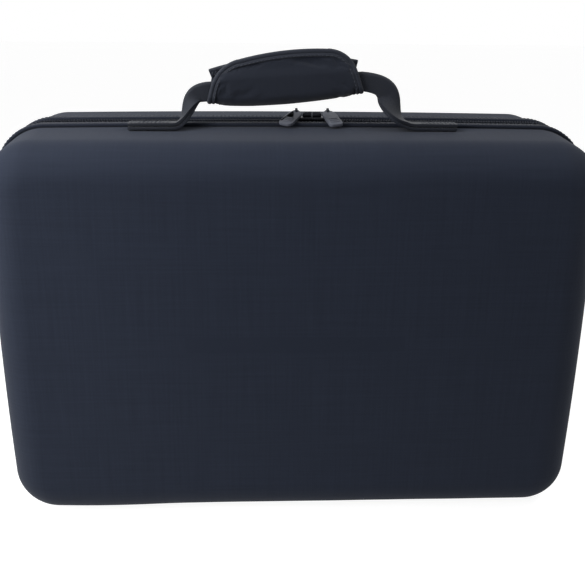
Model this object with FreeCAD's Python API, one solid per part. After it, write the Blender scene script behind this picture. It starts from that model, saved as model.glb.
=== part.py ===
"""Hard carrying bag for a games console: two moulded shells, a zipper round three sides and a padded webbing handle.

Frame: millimetres, +Z up, the lid's face towards -Y, the origin under the middle of the bag on the surface it stands on.
The zipper runs in the plane y = 0. The lid is everything in front of it and the base is everything behind it."""
import FreeCAD, Part
import os
from math import atan, atan2, cos, degrees, hypot, radians, sin, sqrt, tan

os.makedirs("parts", exist_ok=True)
Vector = FreeCAD.Vector

# shells: laminated foam and woven cloth, pressed to shape
shell_width = 443.0        # at the widest point of the bowed sides
shell_height = 295.0       # from the flat underside to the top of the bowed top
shell_depth = 75.0         # from the zipper band to the face
corner_radius = 35.0       # corners seen from the front
side_bow_radius = 3700.0   # the sides bow outwards a little
top_bow_radius = 13000.0   # and so does the top
draft_angle = 2.2          # the walls lean in towards the face
face_radius = 28.0         # round edge between walls and face
wall = 5.0
flange_wall = 3.0          # pressed thin where it is sewn
flange_width = 9.0
flange_ramp = 6.0          # where the wall swells from thin to full

# zipper band between the two shells
band_half = 12.0           # from the zipper plane to a bound edge
tape_thickness = 0.8
tape_margin = 0.5          # the tape ends this far inside the trim's edge
trim_width = 8.0
trim_thickness = 2.2
trim_bevel = 0.9
binding_thickness = 1.0
binding_leg = 9.0          # how far the edge binding reaches inside
row_gap = 0.6              # from the zipper plane to a row of teeth
row_width = 3.2
row_height = 2.0
row_bevel = 0.7
hinge_margin = 71.5        # from the bag's sides to the cloth hinge on the underside
end_tab_length = 12.0
end_tab_thickness = 2.4
seam_gap = 0.3             # between pieces that move apart

# sliders and pulls
meeting_x = 14.5           # where the two sliders meet
nose_gap = 0.3
slider_length = 15.0
slider_waist = 6.8         # where the plate starts to narrow
slider_width = 10.4
slider_tail = 7.6
slider_corner = 1.9
plate_thickness = 1.4
slider_clearance = 0.3
post_start = 1.0           # from the nose to the post between the rows
post_length = 4.0
post_thickness = 0.6
lip_start = 1.5
lip_thickness = 0.9
weld = 0.5                 # how far joined metal runs into its neighbour
bail_offset = 12.0         # from the meeting point to the bail's middle
bail_outer = 3.9
bail_inner = 2.2
bail_thickness = 1.8
bail_sink = 2.3            # how far the bail's circle reaches into the plate
ring_radius = 3.7
ring_wire = 0.7
eye_play = 0.25
tab_length = 26.0
tab_width = 10.5
tab_neck = 6.0
tab_head_corner = 1.7
tab_end_corner = 3.2
tab_thickness = 2.2
eye_web = 0.75             # what is left of the tab between its eye and its head
tab_ribs = 3
rib_start = 4.0            # from the tab's end
rib_width = 1.4
rib_pitch = 3.0
rib_margin = 2.0
rib_height = 0.5
tab_lean_left = 24.0
tab_lean_right = -12.0

# handle: one length of webbing, folded in half lengthwise where it is gripped
handle_y = -20.3           # the fold line, over the front edge of the lid's trim
strap_half = 12.5
strap_thickness = 2.2
strap_slack = 0.3          # half the gap inside the fold
sewn_gap = 0.15            # under a sewn end
left_anchor = (-126.0, -90.0)
right_anchor = (87.0, 120.0)
wrap_left = -63.0
wrap_right = 51.0
left_pull = (16.0, 24.0)   # how strongly the left post keeps its direction at its foot and at the wrap
right_pull = (12.0, 22.0)
post_twist = -24.0         # the right post turns its face outwards
post_stations = 7
grip_height = 327.3        # the fold line where the webbing enters the wrap at the left
grip_tilt = 4.8            # the right end sits higher
wrap_padding = 3.6
wrap_crest = 18.0          # the flaps' edge over the fold line, at mid length
wrap_ear = 11.0            # and at the ends of the back flap
flap_corner = 13.0
channel_play = 0.15
closure_slit = 1.1         # half the gap that the hook and loop patches fill
patch_thickness = 1.0
patch_height = 9.0
patch_length = 76.0
edge_tape_width = 2.8
edge_tape_thickness = 0.7
backing_thickness = 1.5
backing_width = 11.0
backing_margin = 3.0
backing_seat = 0.1

# inside
foam_clearance = 0.3
cradle_height = 34.0
cradle_floor = 8.0
cradle_rim = 15.0
bay_divider_x = 96.0       # between the console bay and the accessory bay
bay_divider = 12.0
bay_corner = 14.0
finger_notch_radius = 22.0
notch_rim = 5.0            # foam left outside a finger notch
notch_depth = 20.0
pad_thickness = 10.0
pocket_depth = 26.0        # from the lid's inner face to the net
pocket_height = 190.0
net_thickness = 0.8
hem_height = 9.0
hem_thickness = 2.4
hold_strap_width = 30.0
hold_strap_thickness = 1.6
hold_strap_leg = 16.0
hold_strap_depth = 30.0    # from the zipper plane to the straps
hold_strap_places = {"left": -130.0, "right": 20.0}
hold_patch_length = 80.0

# levels worked out from the sizes above
trim_proud = tape_thickness + trim_thickness
ground = 0.0
shell_low = ground + trim_proud
shell_high = shell_low + shell_height
shell_middle = (shell_low + shell_high) / 2
edge_y = band_half + binding_thickness
flange_y = edge_y + flange_width
face_y = band_half + shell_depth
draft_slope = tan(radians(draft_angle))
face_inset = (face_y - flange_y) * draft_slope
cavity_y = face_y - wall
trim_y = band_half + trim_width
row_y = row_gap + row_width
hinge_half = shell_width / 2 - hinge_margin
chain_top = tape_thickness + row_height


def box(x0, x1, y0, y1, z0, z1):
    """A block between two corners, whatever their order."""
    low = Vector(min(x0, x1), min(y0, y1), min(z0, z1))
    return Part.makeBox(abs(x1 - x0), abs(y1 - y0), abs(z1 - z0), low)


def fuse(*solids):
    return solids[0].multiFuse(list(solids[1:])).removeSplitter()


def unit(a, b):
    d = hypot(b[0] - a[0], b[1] - a[1])
    return ((b[0] - a[0]) / d, (b[1] - a[1]) / d)


def meet(a, radius_a, b, radius_b):
    """The upper right meeting point of two circles."""
    dx, dz = b[0] - a[0], b[1] - a[1]
    d = hypot(dx, dz)
    along = (radius_a ** 2 - radius_b ** 2 + d ** 2) / (2 * d)
    off = sqrt(radius_a ** 2 - along ** 2)
    mx, mz = a[0] + along * dx / d, a[1] + along * dz / d
    points = [(mx + off * dz / d, mz - off * dx / d), (mx - off * dz / d, mz + off * dx / d)]
    return max(points, key=sum)


# centres of the arcs that make the bag's outline, all met smoothly
side_centre = (shell_width / 2 - side_bow_radius, shell_middle)
top_centre = (0.0, shell_high - top_bow_radius)
top_corner = meet(side_centre, side_bow_radius - corner_radius, top_centre, top_bow_radius - corner_radius)
low_corner_z = shell_low + corner_radius
low_corner_x = side_centre[0] + sqrt((side_bow_radius - corner_radius) ** 2 - (low_corner_z - shell_middle) ** 2)
low_corner = (low_corner_x, low_corner_z)


def outline(y, inset):
    """The bag's outline in the plane y, moved inwards by inset: a flat underside and bowed sides and top."""
    down, out, up = (0.0, -1.0), (1.0, 0.0), (0.0, 1.0)
    low_side, high_side = unit(side_centre, low_corner), unit(side_centre, top_corner)
    top_end = unit(top_centre, top_corner)

    def point(centre, way, radius, side=1):
        return Vector(side * (centre[0] + way[0] * radius), y, centre[1] + way[1] * radius)

    def arc(centre, ways, radius, sides=(1, 1, 1)):
        return Part.Arc(*[point(centre, w, radius, s) for w, s in zip(ways, sides)]).toShape()

    def between(a, b):
        return unit((0.0, 0.0), (a[0] + b[0], a[1] + b[1]))

    corner = corner_radius - inset
    low_ways = [down, between(down, low_side), low_side]
    side_ways = [low_side, out, high_side]
    high_ways = [high_side, between(high_side, top_end), top_end]
    left = (-1, -1, -1)
    edges = [
        Part.LineSegment(point(low_corner, down, corner, -1), point(low_corner, down, corner)).toShape(),
        arc(low_corner, low_ways, corner),
        arc(side_centre, side_ways, side_bow_radius - inset),
        arc(top_corner, high_ways, corner),
        arc(top_centre, [top_end, up, top_end], top_bow_radius - inset, (1, 1, -1)),
        arc(top_corner, high_ways[::-1], corner, left),
        arc(side_centre, side_ways[::-1], side_bow_radius - inset, left),
        arc(low_corner, low_ways[::-1], corner, left),
    ]
    return Part.Wire(edges)


def tunnel(stations):
    """A solid through the bag's outline at each (y, inset)."""
    return Part.makeLoft([outline(y, inset) for y, inset in stations], True, True)


def round_end(solid, y, radius):
    """Rounds the edge loop that lies in the plane y."""
    loop = [e for e in solid.Edges if max(abs(e.BoundBox.YMin - y), abs(e.BoundBox.YMax - y)) < 0.001]
    return solid.makeFillet(radius, loop)


def ring(outer, inner):
    """A band round the bag between two runs of (y, inset)."""
    y0, y1 = inner[0][0], inner[-1][0]
    way = 1 if y1 > y0 else -1
    bore = [(y0 - way, inner[0][1])] + inner[1:-1] + [(y1 + way, inner[-1][1])]
    return tunnel(outer).cut(tunnel(bore))


def cavity_inset(y):
    """How far the inner wall lies inside the outline at a distance y from the zipper plane."""
    start = flange_y + flange_ramp
    return wall + (y - flange_y) * draft_slope if y >= start else flange_wall


def cavity(side, clearance=0.0):
    """The space inside one shell, made smaller by clearance."""
    floor = cavity_y - clearance
    start = flange_y + flange_ramp
    stations = [(band_half, flange_wall), (flange_y, flange_wall), (start, cavity_inset(start)), (floor, cavity_inset(floor))]
    space = tunnel([(side * y, inset + clearance) for y, inset in stations])
    return round_end(space, side * floor, face_radius - wall - clearance)


def shell(side):
    """One pressed shell: a drafted wall with a round edge to the face and a thin flange to sew through."""
    outer = tunnel([(side * edge_y, 0.0), (side * flange_y, 0.0), (side * face_y, face_inset)])
    outer = round_end(outer, side * face_y, face_radius)
    return outer.cut(cavity(side))


def trim(side):
    """The heavy woven tape sewn over the zipper tape round the edge of a shell, with its edges rolled."""
    low = trim_proud - trim_bevel
    stations = [(band_half, low), (band_half + trim_bevel, trim_proud), (trim_y - trim_bevel, trim_proud), (trim_y, low)]
    outer = [(side * y, -proud) for y, proud in stations]
    inner = [(side * band_half, -tape_thickness), (side * trim_y, -tape_thickness)]
    return ring(outer, inner)


def edge_binding(side):
    """The thin tape that binds a shell's cut edge, folded to the inside."""
    inside = flange_wall + binding_thickness
    edge = ring([(side * band_half, 0.0), (side * edge_y, 0.0)], [(side * band_half, inside), (side * edge_y, inside)])
    reach = band_half + binding_leg
    leg = ring([(side * edge_y, flange_wall), (side * reach, flange_wall)], [(side * edge_y, inside), (side * reach, inside)])
    return fuse(edge, leg)


def hinge_gap():
    """The stretch of the underside that has no zipper."""
    reach = hinge_half + end_tab_length
    return box(-reach, reach, -face_y, face_y, -face_y, shell_low + corner_radius / 2)


def zipper_tape(side):
    reach = trim_y - tape_margin
    outer = [(side * row_gap, -tape_thickness), (side * reach, -tape_thickness)]
    inner = [(side * row_gap, 0.0), (side * reach, 0.0)]
    return ring(outer, inner).cut(hinge_gap())


def zipper_row(side):
    """One row of closed teeth, as the solid rib that they fill."""
    low = chain_top - row_bevel
    stations = [(row_gap, low), (row_gap + row_bevel, chain_top), (row_y - row_bevel, chain_top), (row_y, low)]
    outer = [(side * y, -proud) for y, proud in stations]
    inner = [(side * row_gap, -tape_thickness), (side * row_y, -tape_thickness)]
    return ring(outer, inner).cut(hinge_gap())


def end_tab(side):
    """The folded tab that closes one end of the zipper."""
    inner, outer = side * hinge_half, side * (hinge_half + end_tab_length - seam_gap)
    return box(inner, outer, -band_half + seam_gap, band_half, shell_low - end_tab_thickness, shell_low)


def hinge_strip():
    """The double cloth that joins the shells along the underside."""
    reach = trim_y - tape_margin
    return box(-hinge_half, hinge_half, -band_half + seam_gap, reach, shell_low - tape_thickness, shell_low)


def top_z(x):
    """Height of the bowed top over x."""
    return top_centre[1] + sqrt(top_bow_radius ** 2 - x ** 2)


plate_low = top_z(meeting_x) + chain_top + slider_clearance
plate_high = plate_low + plate_thickness
under_high = top_z(meeting_x) - slider_clearance
bail_centre_z = plate_high + bail_outer - bail_sink
bar_z = bail_centre_z + (bail_outer + bail_inner) / 2


def slider_plate(z):
    """A plate that narrows from its waist to its tail, nose at x = 0 and tail towards -X."""
    nose, tail = slider_width / 2, slider_tail / 2
    side = [(0, nose), (-slider_waist, nose), (-slider_length, tail)]
    corners = side + [(x, -y) for x, y in side[::-1]]
    wire = Part.makePolygon([Vector(x, y, z) for x, y in corners + corners[:1]])
    plate = Part.Face(wire).extrude(Vector(0, 0, plate_thickness))
    uprights = [e for e in plate.Edges if e.BoundBox.ZLength > plate_thickness / 2]
    return plate.makeFillet(slider_corner, uprights)


def slider():
    """The left slider, nose at x = 0: two plates joined by a post between the rows, and a bail for the pull."""
    half = post_thickness / 2
    post = box(-post_length - post_start, -post_start, -half, half, under_high - weld, plate_low + weld)
    lip_y = row_y + slider_clearance
    lip_low = top_z(meeting_x) + tape_thickness + slider_clearance
    lip = box(-slider_waist, -lip_start, lip_y, lip_y + lip_thickness, lip_low, plate_low + weld)
    centre = Vector(-bail_offset + nose_gap, -bail_thickness / 2, bail_centre_z)
    way = Vector(0, 1, 0)
    bail = Part.makeCylinder(bail_outer, bail_thickness, centre, way)
    bail = bail.cut(Part.makeCylinder(bail_inner, bail_thickness, centre, way))
    below = box(-slider_length * 2, 0, -slider_width, slider_width, bail_centre_z - bail_outer * 2, plate_high - weld)
    return fuse(slider_plate(plate_low), slider_plate(under_high - plate_thickness), post, lip, bail.cut(below))


def pull_ring(x):
    return Part.makeTorus(ring_radius, ring_wire, Vector(x, 0, bar_z), Vector(1, 0, 0))


eye_half = ring_wire + eye_play
tab_start = ring_radius - eye_half - eye_web
rest_run = -handle_y - tab_start
rest_drop = bar_z - (top_z(meeting_x) + trim_proud + seam_gap + tab_thickness / 2)
tab_slope = degrees(atan(rest_drop / rest_run))


def pull_tab(x, lean):
    """A moulded tab that hangs forward from its ring and rests on the edge of the lid's trim."""
    half, neck, end = tab_width / 2, tab_neck / 2, tab_start + tab_length
    shoulder = tab_start + tab_neck
    side = [(neck, -tab_start), (half, -shoulder), (half, -end)]
    corners = side + [(-a, b) for a, b in side[::-1]]
    wire = Part.makePolygon([Vector(a, b, -tab_thickness / 2) for a, b in corners + corners[:1]])
    slab = Part.Face(wire).extrude(Vector(0, 0, tab_thickness))
    for at, radius in ((-end, tab_end_corner), (-tab_start, tab_head_corner)):
        uprights = [e for e in slab.Edges if e.BoundBox.ZLength > tab_thickness / 2 and abs(e.BoundBox.YMin - at) < 0.01]
        slab = slab.makeFillet(radius, uprights)
    ribs = []
    for i in range(tab_ribs):
        y = -end + rib_start + rib_pitch * i
        ribs.append(box(-half + rib_margin, half - rib_margin, y, y + rib_width, 0, tab_thickness / 2 + rib_height))
    tab = fuse(slab, *ribs)
    eye = box(-eye_half, eye_half, -ring_radius - eye_half, -ring_radius + eye_half, -tab_thickness, tab_thickness)
    tab = tab.cut(eye)
    tab.rotate(Vector(0, -ring_radius, 0), Vector(0, 0, 1), -lean)
    tab.rotate(Vector(0, 0, 0), Vector(1, 0, 0), tab_slope)
    tab.translate(Vector(x, 0, bar_z))
    return tab


def strap_section(x, z, heading, front_fold, rear_fold, twist=0.0):
    """The webbing's cross section where it crosses (x, z): two halves that fold down from a line along its middle."""
    t, run = strap_thickness / 2, strap_half - strap_slack
    halves = []
    for side, fold in ((-1, radians(front_fold)), (1, radians(rear_fold))):
        start = side * (strap_slack + t * sin(fold))
        along, out = (side * cos(fold), -sin(fold)), (side * sin(fold), cos(fold))
        end = (start + along[0] * run, along[1] * run)
        crown = (start + out[0] * t, out[1] * t + strap_thickness * sin(fold))
        halves.append([crown, (end[0] + out[0] * t, end[1] + out[1] * t), (end[0] - out[0] * t, end[1] - out[1] * t),
                       (start - out[0] * t, -out[1] * t)])
    turn, head = radians(twist), radians(heading)
    normal, across = Vector(-sin(head), 0, cos(head)), Vector(0, 1, 0)
    points = []
    for b, n in halves[1] + halves[0][::-1]:
        points.append(Vector(x, handle_y, z) + across * (b * cos(turn) - n * sin(turn)) + normal * (b * sin(turn) + n * cos(turn)))
    return Part.makePolygon(points + points[:1])


def grip_z(x):
    """Height of the fold line over the grip."""
    return grip_height + (x - wrap_left) * tan(radians(grip_tilt))


def sewn_z(x):
    """Height of the webbing's middle where it lies on the lid's trim."""
    return top_z(x) + trim_proud + sewn_gap + strap_thickness / 2


front_droop = degrees(atan(trim_proud / (strap_half - strap_slack)))


def post(foot_x, head_x, foot_pull, head_pull, twist=0.0):
    """Sections from a sewn end up to the wrap: the webbing stands up, turns towards the grip and folds in half."""
    way = 1 if head_x > foot_x else -1
    tilt = radians(grip_tilt)
    controls = [(foot_x, sewn_z(foot_x)), (foot_x + way * foot_pull, sewn_z(foot_x)),
                (head_x - way * head_pull * cos(tilt), grip_z(head_x) - way * head_pull * sin(tilt)), (head_x, grip_z(head_x))]
    sections = []
    for i in range(post_stations + 1):
        t = i / post_stations
        shares = [(1 - t) ** 3, 3 * t * (1 - t) ** 2, 3 * t * t * (1 - t), t ** 3]
        rates = [(1 - t) ** 2, 2 * t * (1 - t), t * t]
        x, z = [sum(s * c[k] for s, c in zip(shares, controls)) for k in (0, 1)]
        dx, dz = [sum(r * (b[k] - a[k]) for r, a, b in zip(rates, controls, controls[1:])) for k in (0, 1)]
        folding = t * t * (3 - 2 * t)
        heading = degrees(atan2(way * dz, way * dx))
        front_fold = front_droop + (90 - front_droop) * folding
        sections.append(strap_section(x, z, heading, front_fold, 90 * folding, twist * sin(radians(180 * t))))
    return sections


def handle_webbing():
    """Two sewn ends that lie on the lid, two posts that stand up and fold, and the folded run through the wrap."""
    ends = [[strap_section(x, sewn_z(x), 0, front_droop, 0) for x in anchor] for anchor in (left_anchor, right_anchor)]
    left_post = post(left_anchor[1], wrap_left, *left_pull)
    right_post = post(right_anchor[0], wrap_right, *right_pull, post_twist)
    grip = [left_post[-1], right_post[-1]]
    pieces = [Part.makeLoft(run, True, True) for run in (*ends, grip)]
    pieces += [Part.makeLoft(run, True, False) for run in (left_post, right_post)]
    return fuse(*pieces)


wrap_length = (wrap_right - wrap_left) / cos(radians(grip_tilt))
channel_half = strap_slack + strap_thickness + channel_play
channel_low = -(strap_half - strap_slack) - channel_play
channel_high = strap_thickness + channel_play
wrap_half = channel_half + wrap_padding
flap_half = closure_slit + wrap_padding
flap_root = channel_high + wrap_padding * 2
wrap_low = channel_low - wrap_padding * 2
beyond = 2.0               # how far a cutting or trimming shape runs past what it cuts


def wrap_profile(grow=0.0):
    """Outside of the wrap's cross section in the plane x = 0: a round fold under the webbing, narrower at the top."""
    half, top_half = wrap_half + grow, flap_half + grow
    low = channel_low - wrap_padding + wrap_half
    fold = Part.Arc(Vector(0, -half, low), Vector(0, 0, low - half), Vector(0, half, low)).toShape()
    side = [(half, low), (half, channel_high), (top_half, flap_root), (top_half, wrap_crest + beyond)]
    points = [Vector(0, y, z) for y, z in side + [(-y, z) for y, z in side[::-1]]]
    return Part.Face(Part.Wire([fold] + Part.makePolygon(points).Edges))


def bar_along(profile, length):
    """Runs a profile in the plane x = 0 along X, centred."""
    solid = profile.extrude(Vector(length, 0, 0))
    solid.translate(Vector(-length / 2, 0, 0))
    return solid


def flap_shape(front, inset=0.0):
    """A thick plate with the outline of one flap: round shoulders on the front one, ears on the back one."""
    half, ear, crest = wrap_length / 2 - inset, wrap_ear - inset, wrap_crest - inset
    depth = -wrap_half * 2 if front else wrap_half * 2

    def p(x, z):
        return Vector(x, 0, z)

    sides = Part.makePolygon([p(-half, ear), p(-half, wrap_low), p(half, wrap_low), p(half, ear)])
    top = Part.Arc(p(half, ear), p(0, crest), p(-half, ear)).toShape()
    plate = Part.Face(Part.Wire(sides.Edges + [top])).extrude(Vector(0, depth, 0))
    if not front:
        return plate
    shoulders = [e for e in plate.Edges if e.BoundBox.YLength > 1 and abs(e.BoundBox.ZMin - ear) < 0.01]
    return plate.makeFillet(flap_corner - inset, shoulders)


def to_grip(solid):
    """Moves a piece made about the wrap's own middle to the handle."""
    middle = (wrap_left + wrap_right) / 2
    solid.rotate(Vector(0, 0, 0), Vector(0, 1, 0), -grip_tilt)
    solid.translate(Vector(middle, handle_y, grip_z(middle)))
    return solid


def wrap_space():
    """What the wrap folds round: the webbing's channel and the slit between the flaps."""
    reach = wrap_length / 2 + beyond
    channel = box(-reach, reach, -channel_half, channel_half, channel_low, channel_high)
    slit = box(-reach, reach, -closure_slit, closure_slit, channel_high - channel_play, wrap_crest + beyond * 2)
    return channel.fuse(slit)


def handle_wrap():
    body = bar_along(wrap_profile(), wrap_length).cut(wrap_space())
    flaps = flap_shape(True).fuse(flap_shape(False))
    return to_grip(body.common(flaps))


def wrap_edge_tape():
    """The folded tape sewn along the wrap's edge, over the padding."""
    skin = bar_along(wrap_profile(edge_tape_thickness), wrap_length).cut(bar_along(wrap_profile(), wrap_length + beyond))
    front = flap_shape(True).cut(flap_shape(True, edge_tape_width))
    back = flap_shape(False).cut(flap_shape(False, edge_tape_width))
    reach = wrap_length / 2 - edge_tape_width
    middle = box(-reach, reach, -wrap_half * 2, wrap_half * 2, wrap_low, channel_low)
    return to_grip(skin.common(front.fuse(back)).cut(middle))


def closure_patch(side):
    """One of the hook and loop strips between the flaps."""
    half = patch_length / 2
    y0, y1 = side * (closure_slit - patch_thickness), side * closure_slit
    return to_grip(box(-half, half, y0, y1, flap_root - wrap_padding, flap_root - wrap_padding + patch_height))


def anchor_backing(ends):
    """A plastic strip inside the lid that spreads the pull of a sewn handle end."""
    start = flange_y + flange_ramp
    end = start + backing_width
    hidden = (cavity_inset(start) + backing_seat, cavity_inset(end) + backing_seat)
    outer = tunnel([(-start, hidden[0]), (-end, hidden[1])])
    inner = tunnel([(-start, hidden[0] + backing_thickness), (-end, hidden[1] + backing_thickness)])
    strip = box(ends[0] - backing_margin, ends[1] + backing_margin, -start, -end, shell_middle, shell_high)
    return outer.cut(inner).common(strip)


def foam_cradle():
    """The cut foam in the base: a console bay, an accessory bay and finger notches."""
    top_y = cavity_y - foam_clearance - cradle_height
    block = cavity(1, foam_clearance).common(box(-shell_width, shell_width, top_y, face_y, ground, shell_high))
    floor_y = cavity_y - foam_clearance - cradle_floor
    inset = cavity_inset(floor_y) + foam_clearance + cradle_rim
    half = shell_width / 2 - inset
    low, high = shell_low + inset, shell_high - inset
    split = bay_divider / 2
    cuts = []
    for x0, x1 in ((-half, bay_divider_x - split), (bay_divider_x + split, half)):
        bay = box(x0, x1, top_y - beyond, floor_y, low, high)
        cuts.append(bay.makeFillet(bay_corner, [e for e in bay.Edges if e.BoundBox.YLength > beyond]))
    notch_x = (bay_divider_x - split - half) / 2
    for z in (low, high):
        base = Vector(notch_x, top_y - beyond, z)
        cuts.append(Part.makeCylinder(finger_notch_radius, notch_depth + beyond, base, Vector(0, 1, 0)))
    return block.cut(fuse(*cuts).common(cavity(1, foam_clearance + notch_rim)))


def lid_pad():
    """A thin foam pad on the lid's inner face."""
    back = cavity_y - foam_clearance
    return cavity(-1, foam_clearance).common(box(-shell_width, shell_width, -back, -back + pad_thickness, 0, shell_high))


pocket_y = cavity_y - pocket_depth
pocket_top = shell_low + pocket_height


def pocket_net():
    """The net panel sewn to the lid's walls."""
    sheet = box(-shell_width, shell_width, -pocket_y, -pocket_y - net_thickness, 0, pocket_top)
    return cavity(-1).common(sheet)


def pocket_hem():
    """The elastic tape along the net's top edge."""
    middle = pocket_y + net_thickness / 2
    near, far = middle - hem_thickness / 2, middle + hem_thickness / 2
    return cavity(-1).common(box(-shell_width, shell_width, -near, -far, pocket_top, pocket_top + hem_height))


def hold_strap(x):
    """A webbing strap across the base, with each end turned in along the wall that it is sewn to."""
    x0, x1 = x - hold_strap_width / 2, x + hold_strap_width / 2
    y0 = hold_strap_depth
    y1 = y0 + hold_strap_thickness
    whole = cavity(1).common(box(x0, x1, y0, y0 + hold_strap_leg, 0, shell_high))
    inside = cavity(1, hold_strap_thickness).common(box(x0 - 1, x1 + 1, y1, face_y, 0, shell_high))
    return whole.cut(inside)


def hold_patch(x):
    """The hook and loop overlap that closes a hold-down strap."""
    half = hold_strap_width / 2
    y0 = hold_strap_depth
    z0 = shell_middle - hold_patch_length / 2
    return box(x - half, x + half, y0 - hold_strap_thickness, y0, z0, z0 + hold_patch_length)


left_bail_x = meeting_x - bail_offset
right_bail_x = meeting_x + bail_offset
nodes = {
    "front_shell": shell(-1),
    "rear_shell": shell(1),
    "front_trim": trim(-1),
    "rear_trim": trim(1),
    "front_edge_binding": edge_binding(-1),
    "rear_edge_binding": edge_binding(1),
    "zipper_tape_front": zipper_tape(-1),
    "zipper_tape_rear": zipper_tape(1),
    "zipper_row_front": zipper_row(-1),
    "zipper_row_rear": zipper_row(1),
    "zipper_end_left": end_tab(-1),
    "zipper_end_right": end_tab(1),
    "hinge_strip": hinge_strip(),
    "handle_webbing": handle_webbing(),
    "handle_wrap": handle_wrap(),
    "wrap_edge_tape": wrap_edge_tape(),
    "wrap_hook_patch": closure_patch(-1),
    "wrap_loop_patch": closure_patch(1),
    "anchor_backing_left": anchor_backing(left_anchor),
    "anchor_backing_right": anchor_backing(right_anchor),
    "foam_cradle": foam_cradle(),
    "lid_pad": lid_pad(),
    "pocket_net": pocket_net(),
    "pocket_hem": pocket_hem(),
    "pull_ring_left": pull_ring(left_bail_x),
    "pull_ring_right": pull_ring(right_bail_x),
    "pull_tab_left": pull_tab(left_bail_x, tab_lean_left),
    "pull_tab_right": pull_tab(right_bail_x, tab_lean_right),
}
left_slider = slider()
left_slider.translate(Vector(meeting_x - nose_gap, 0, 0))
nodes["slider_left"] = left_slider
nodes["slider_right"] = left_slider.mirror(Vector(meeting_x, 0, 0), Vector(1, 0, 0))
for name, x in hold_strap_places.items():
    nodes["hold_strap_" + name] = hold_strap(x)
    nodes["hold_patch_" + name] = hold_patch(x)

for name, shape in nodes.items():
    solids = shape.Solids
    print(name, "valid" if shape.isValid() else "INVALID", len(solids), "solids", round(shape.Volume), "mm3")
    shape.exportStep("parts/" + name + ".step")
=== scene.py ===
from math import atan2, ceil, cos, hypot, pi, radians, sin, sqrt, tan

import bmesh
import bpy
import numpy as np
from mathutils import Matrix, Vector


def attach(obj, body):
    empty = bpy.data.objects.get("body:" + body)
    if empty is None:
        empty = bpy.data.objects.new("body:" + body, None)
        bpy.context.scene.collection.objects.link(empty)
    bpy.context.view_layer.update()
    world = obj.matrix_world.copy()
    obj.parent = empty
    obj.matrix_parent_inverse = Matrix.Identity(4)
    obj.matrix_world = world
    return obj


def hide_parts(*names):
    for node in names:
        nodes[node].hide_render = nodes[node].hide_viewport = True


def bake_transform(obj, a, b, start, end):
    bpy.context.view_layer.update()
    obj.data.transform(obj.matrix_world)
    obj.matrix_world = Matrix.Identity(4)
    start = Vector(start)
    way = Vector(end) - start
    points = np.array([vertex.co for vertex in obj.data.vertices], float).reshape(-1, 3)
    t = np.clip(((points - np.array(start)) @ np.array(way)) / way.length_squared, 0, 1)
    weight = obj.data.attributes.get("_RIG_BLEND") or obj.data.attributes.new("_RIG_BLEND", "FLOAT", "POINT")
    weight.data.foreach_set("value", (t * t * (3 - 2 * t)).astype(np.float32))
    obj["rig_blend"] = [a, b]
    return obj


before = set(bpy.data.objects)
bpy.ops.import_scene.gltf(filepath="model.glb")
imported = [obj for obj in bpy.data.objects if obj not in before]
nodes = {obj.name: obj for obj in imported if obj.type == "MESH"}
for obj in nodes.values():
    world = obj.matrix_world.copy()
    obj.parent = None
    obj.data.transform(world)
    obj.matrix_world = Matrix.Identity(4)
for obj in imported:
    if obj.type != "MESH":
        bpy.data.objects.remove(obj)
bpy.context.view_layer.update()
scene = bpy.context.scene
print("frame loaded:", len(nodes), "nodes")

# the bag's outline in millimetres, as the shells are cut; the zipper lies at y = 0
bag = {"width": 443.0, "height": 295.0, "low": 3.0, "corner": 35.0, "sideBow": 3700.0, "topBow": 13000.0,
       "rimY": 13.0, "flangeY": 22.0, "faceY": 87.0, "wall": 5.0, "flangeWall": 3.0, "ramp": 6.0,
       "draft": 2.2, "faceRadius": 28.0,  # inside of both shells
       "outerDraft": {-1: 2.2, 1: 0.5}, "outerRadius": {-1: 28.0, 1: 20.0},  # outside: lid -1, base 1
       "bandHalf": 12.0, "zipEnd": 162.0}
high = bag["low"] + bag["height"]
middleZ = (bag["low"] + high) / 2


def smooth(t):
    t = np.clip(t, 0, 1)
    return t * t * (3 - 2 * t)


# the rim's arcs from the lower right corner round to the lower left one, and half the underside's length
def outlineArcs():
    sideCentre = (bag["width"] / 2 - bag["sideBow"], middleZ)
    topCentre = (0.0, high - bag["topBow"])
    ra, rb = bag["sideBow"] - bag["corner"], bag["topBow"] - bag["corner"]
    dx, dz = topCentre[0] - sideCentre[0], topCentre[1] - sideCentre[1]
    d = hypot(dx, dz)
    along = (ra * ra - rb * rb + d * d) / (2 * d)
    off = sqrt(ra * ra - along * along)
    mx, mz = sideCentre[0] + along * dx / d, sideCentre[1] + along * dz / d
    across = (off * dz / d, off * dx / d)
    topCorner = max([(mx + across[0], mz - across[1]), (mx - across[0], mz + across[1])], key=sum)
    lowZ = bag["low"] + bag["corner"]
    lowCorner = (sideCentre[0] + sqrt(ra * ra - (lowZ - middleZ) ** 2), lowZ)

    def turn(a, b):
        return atan2(b[1] - a[1], b[0] - a[0])

    a0, a1, a2 = turn(sideCentre, lowCorner), turn(sideCentre, topCorner), turn(topCentre, topCorner)
    right = [(lowCorner, -pi / 2, a0, bag["corner"]), (sideCentre, a0, a1, bag["sideBow"]),
             (topCorner, a1, a2, bag["corner"])]
    left = [((-c[0], c[1]), pi - e, pi - s, r) for c, s, e, r in right[::-1]]
    return lowCorner[0], right + [(topCentre, a2, pi - a2, bag["topBow"])] + left


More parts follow.
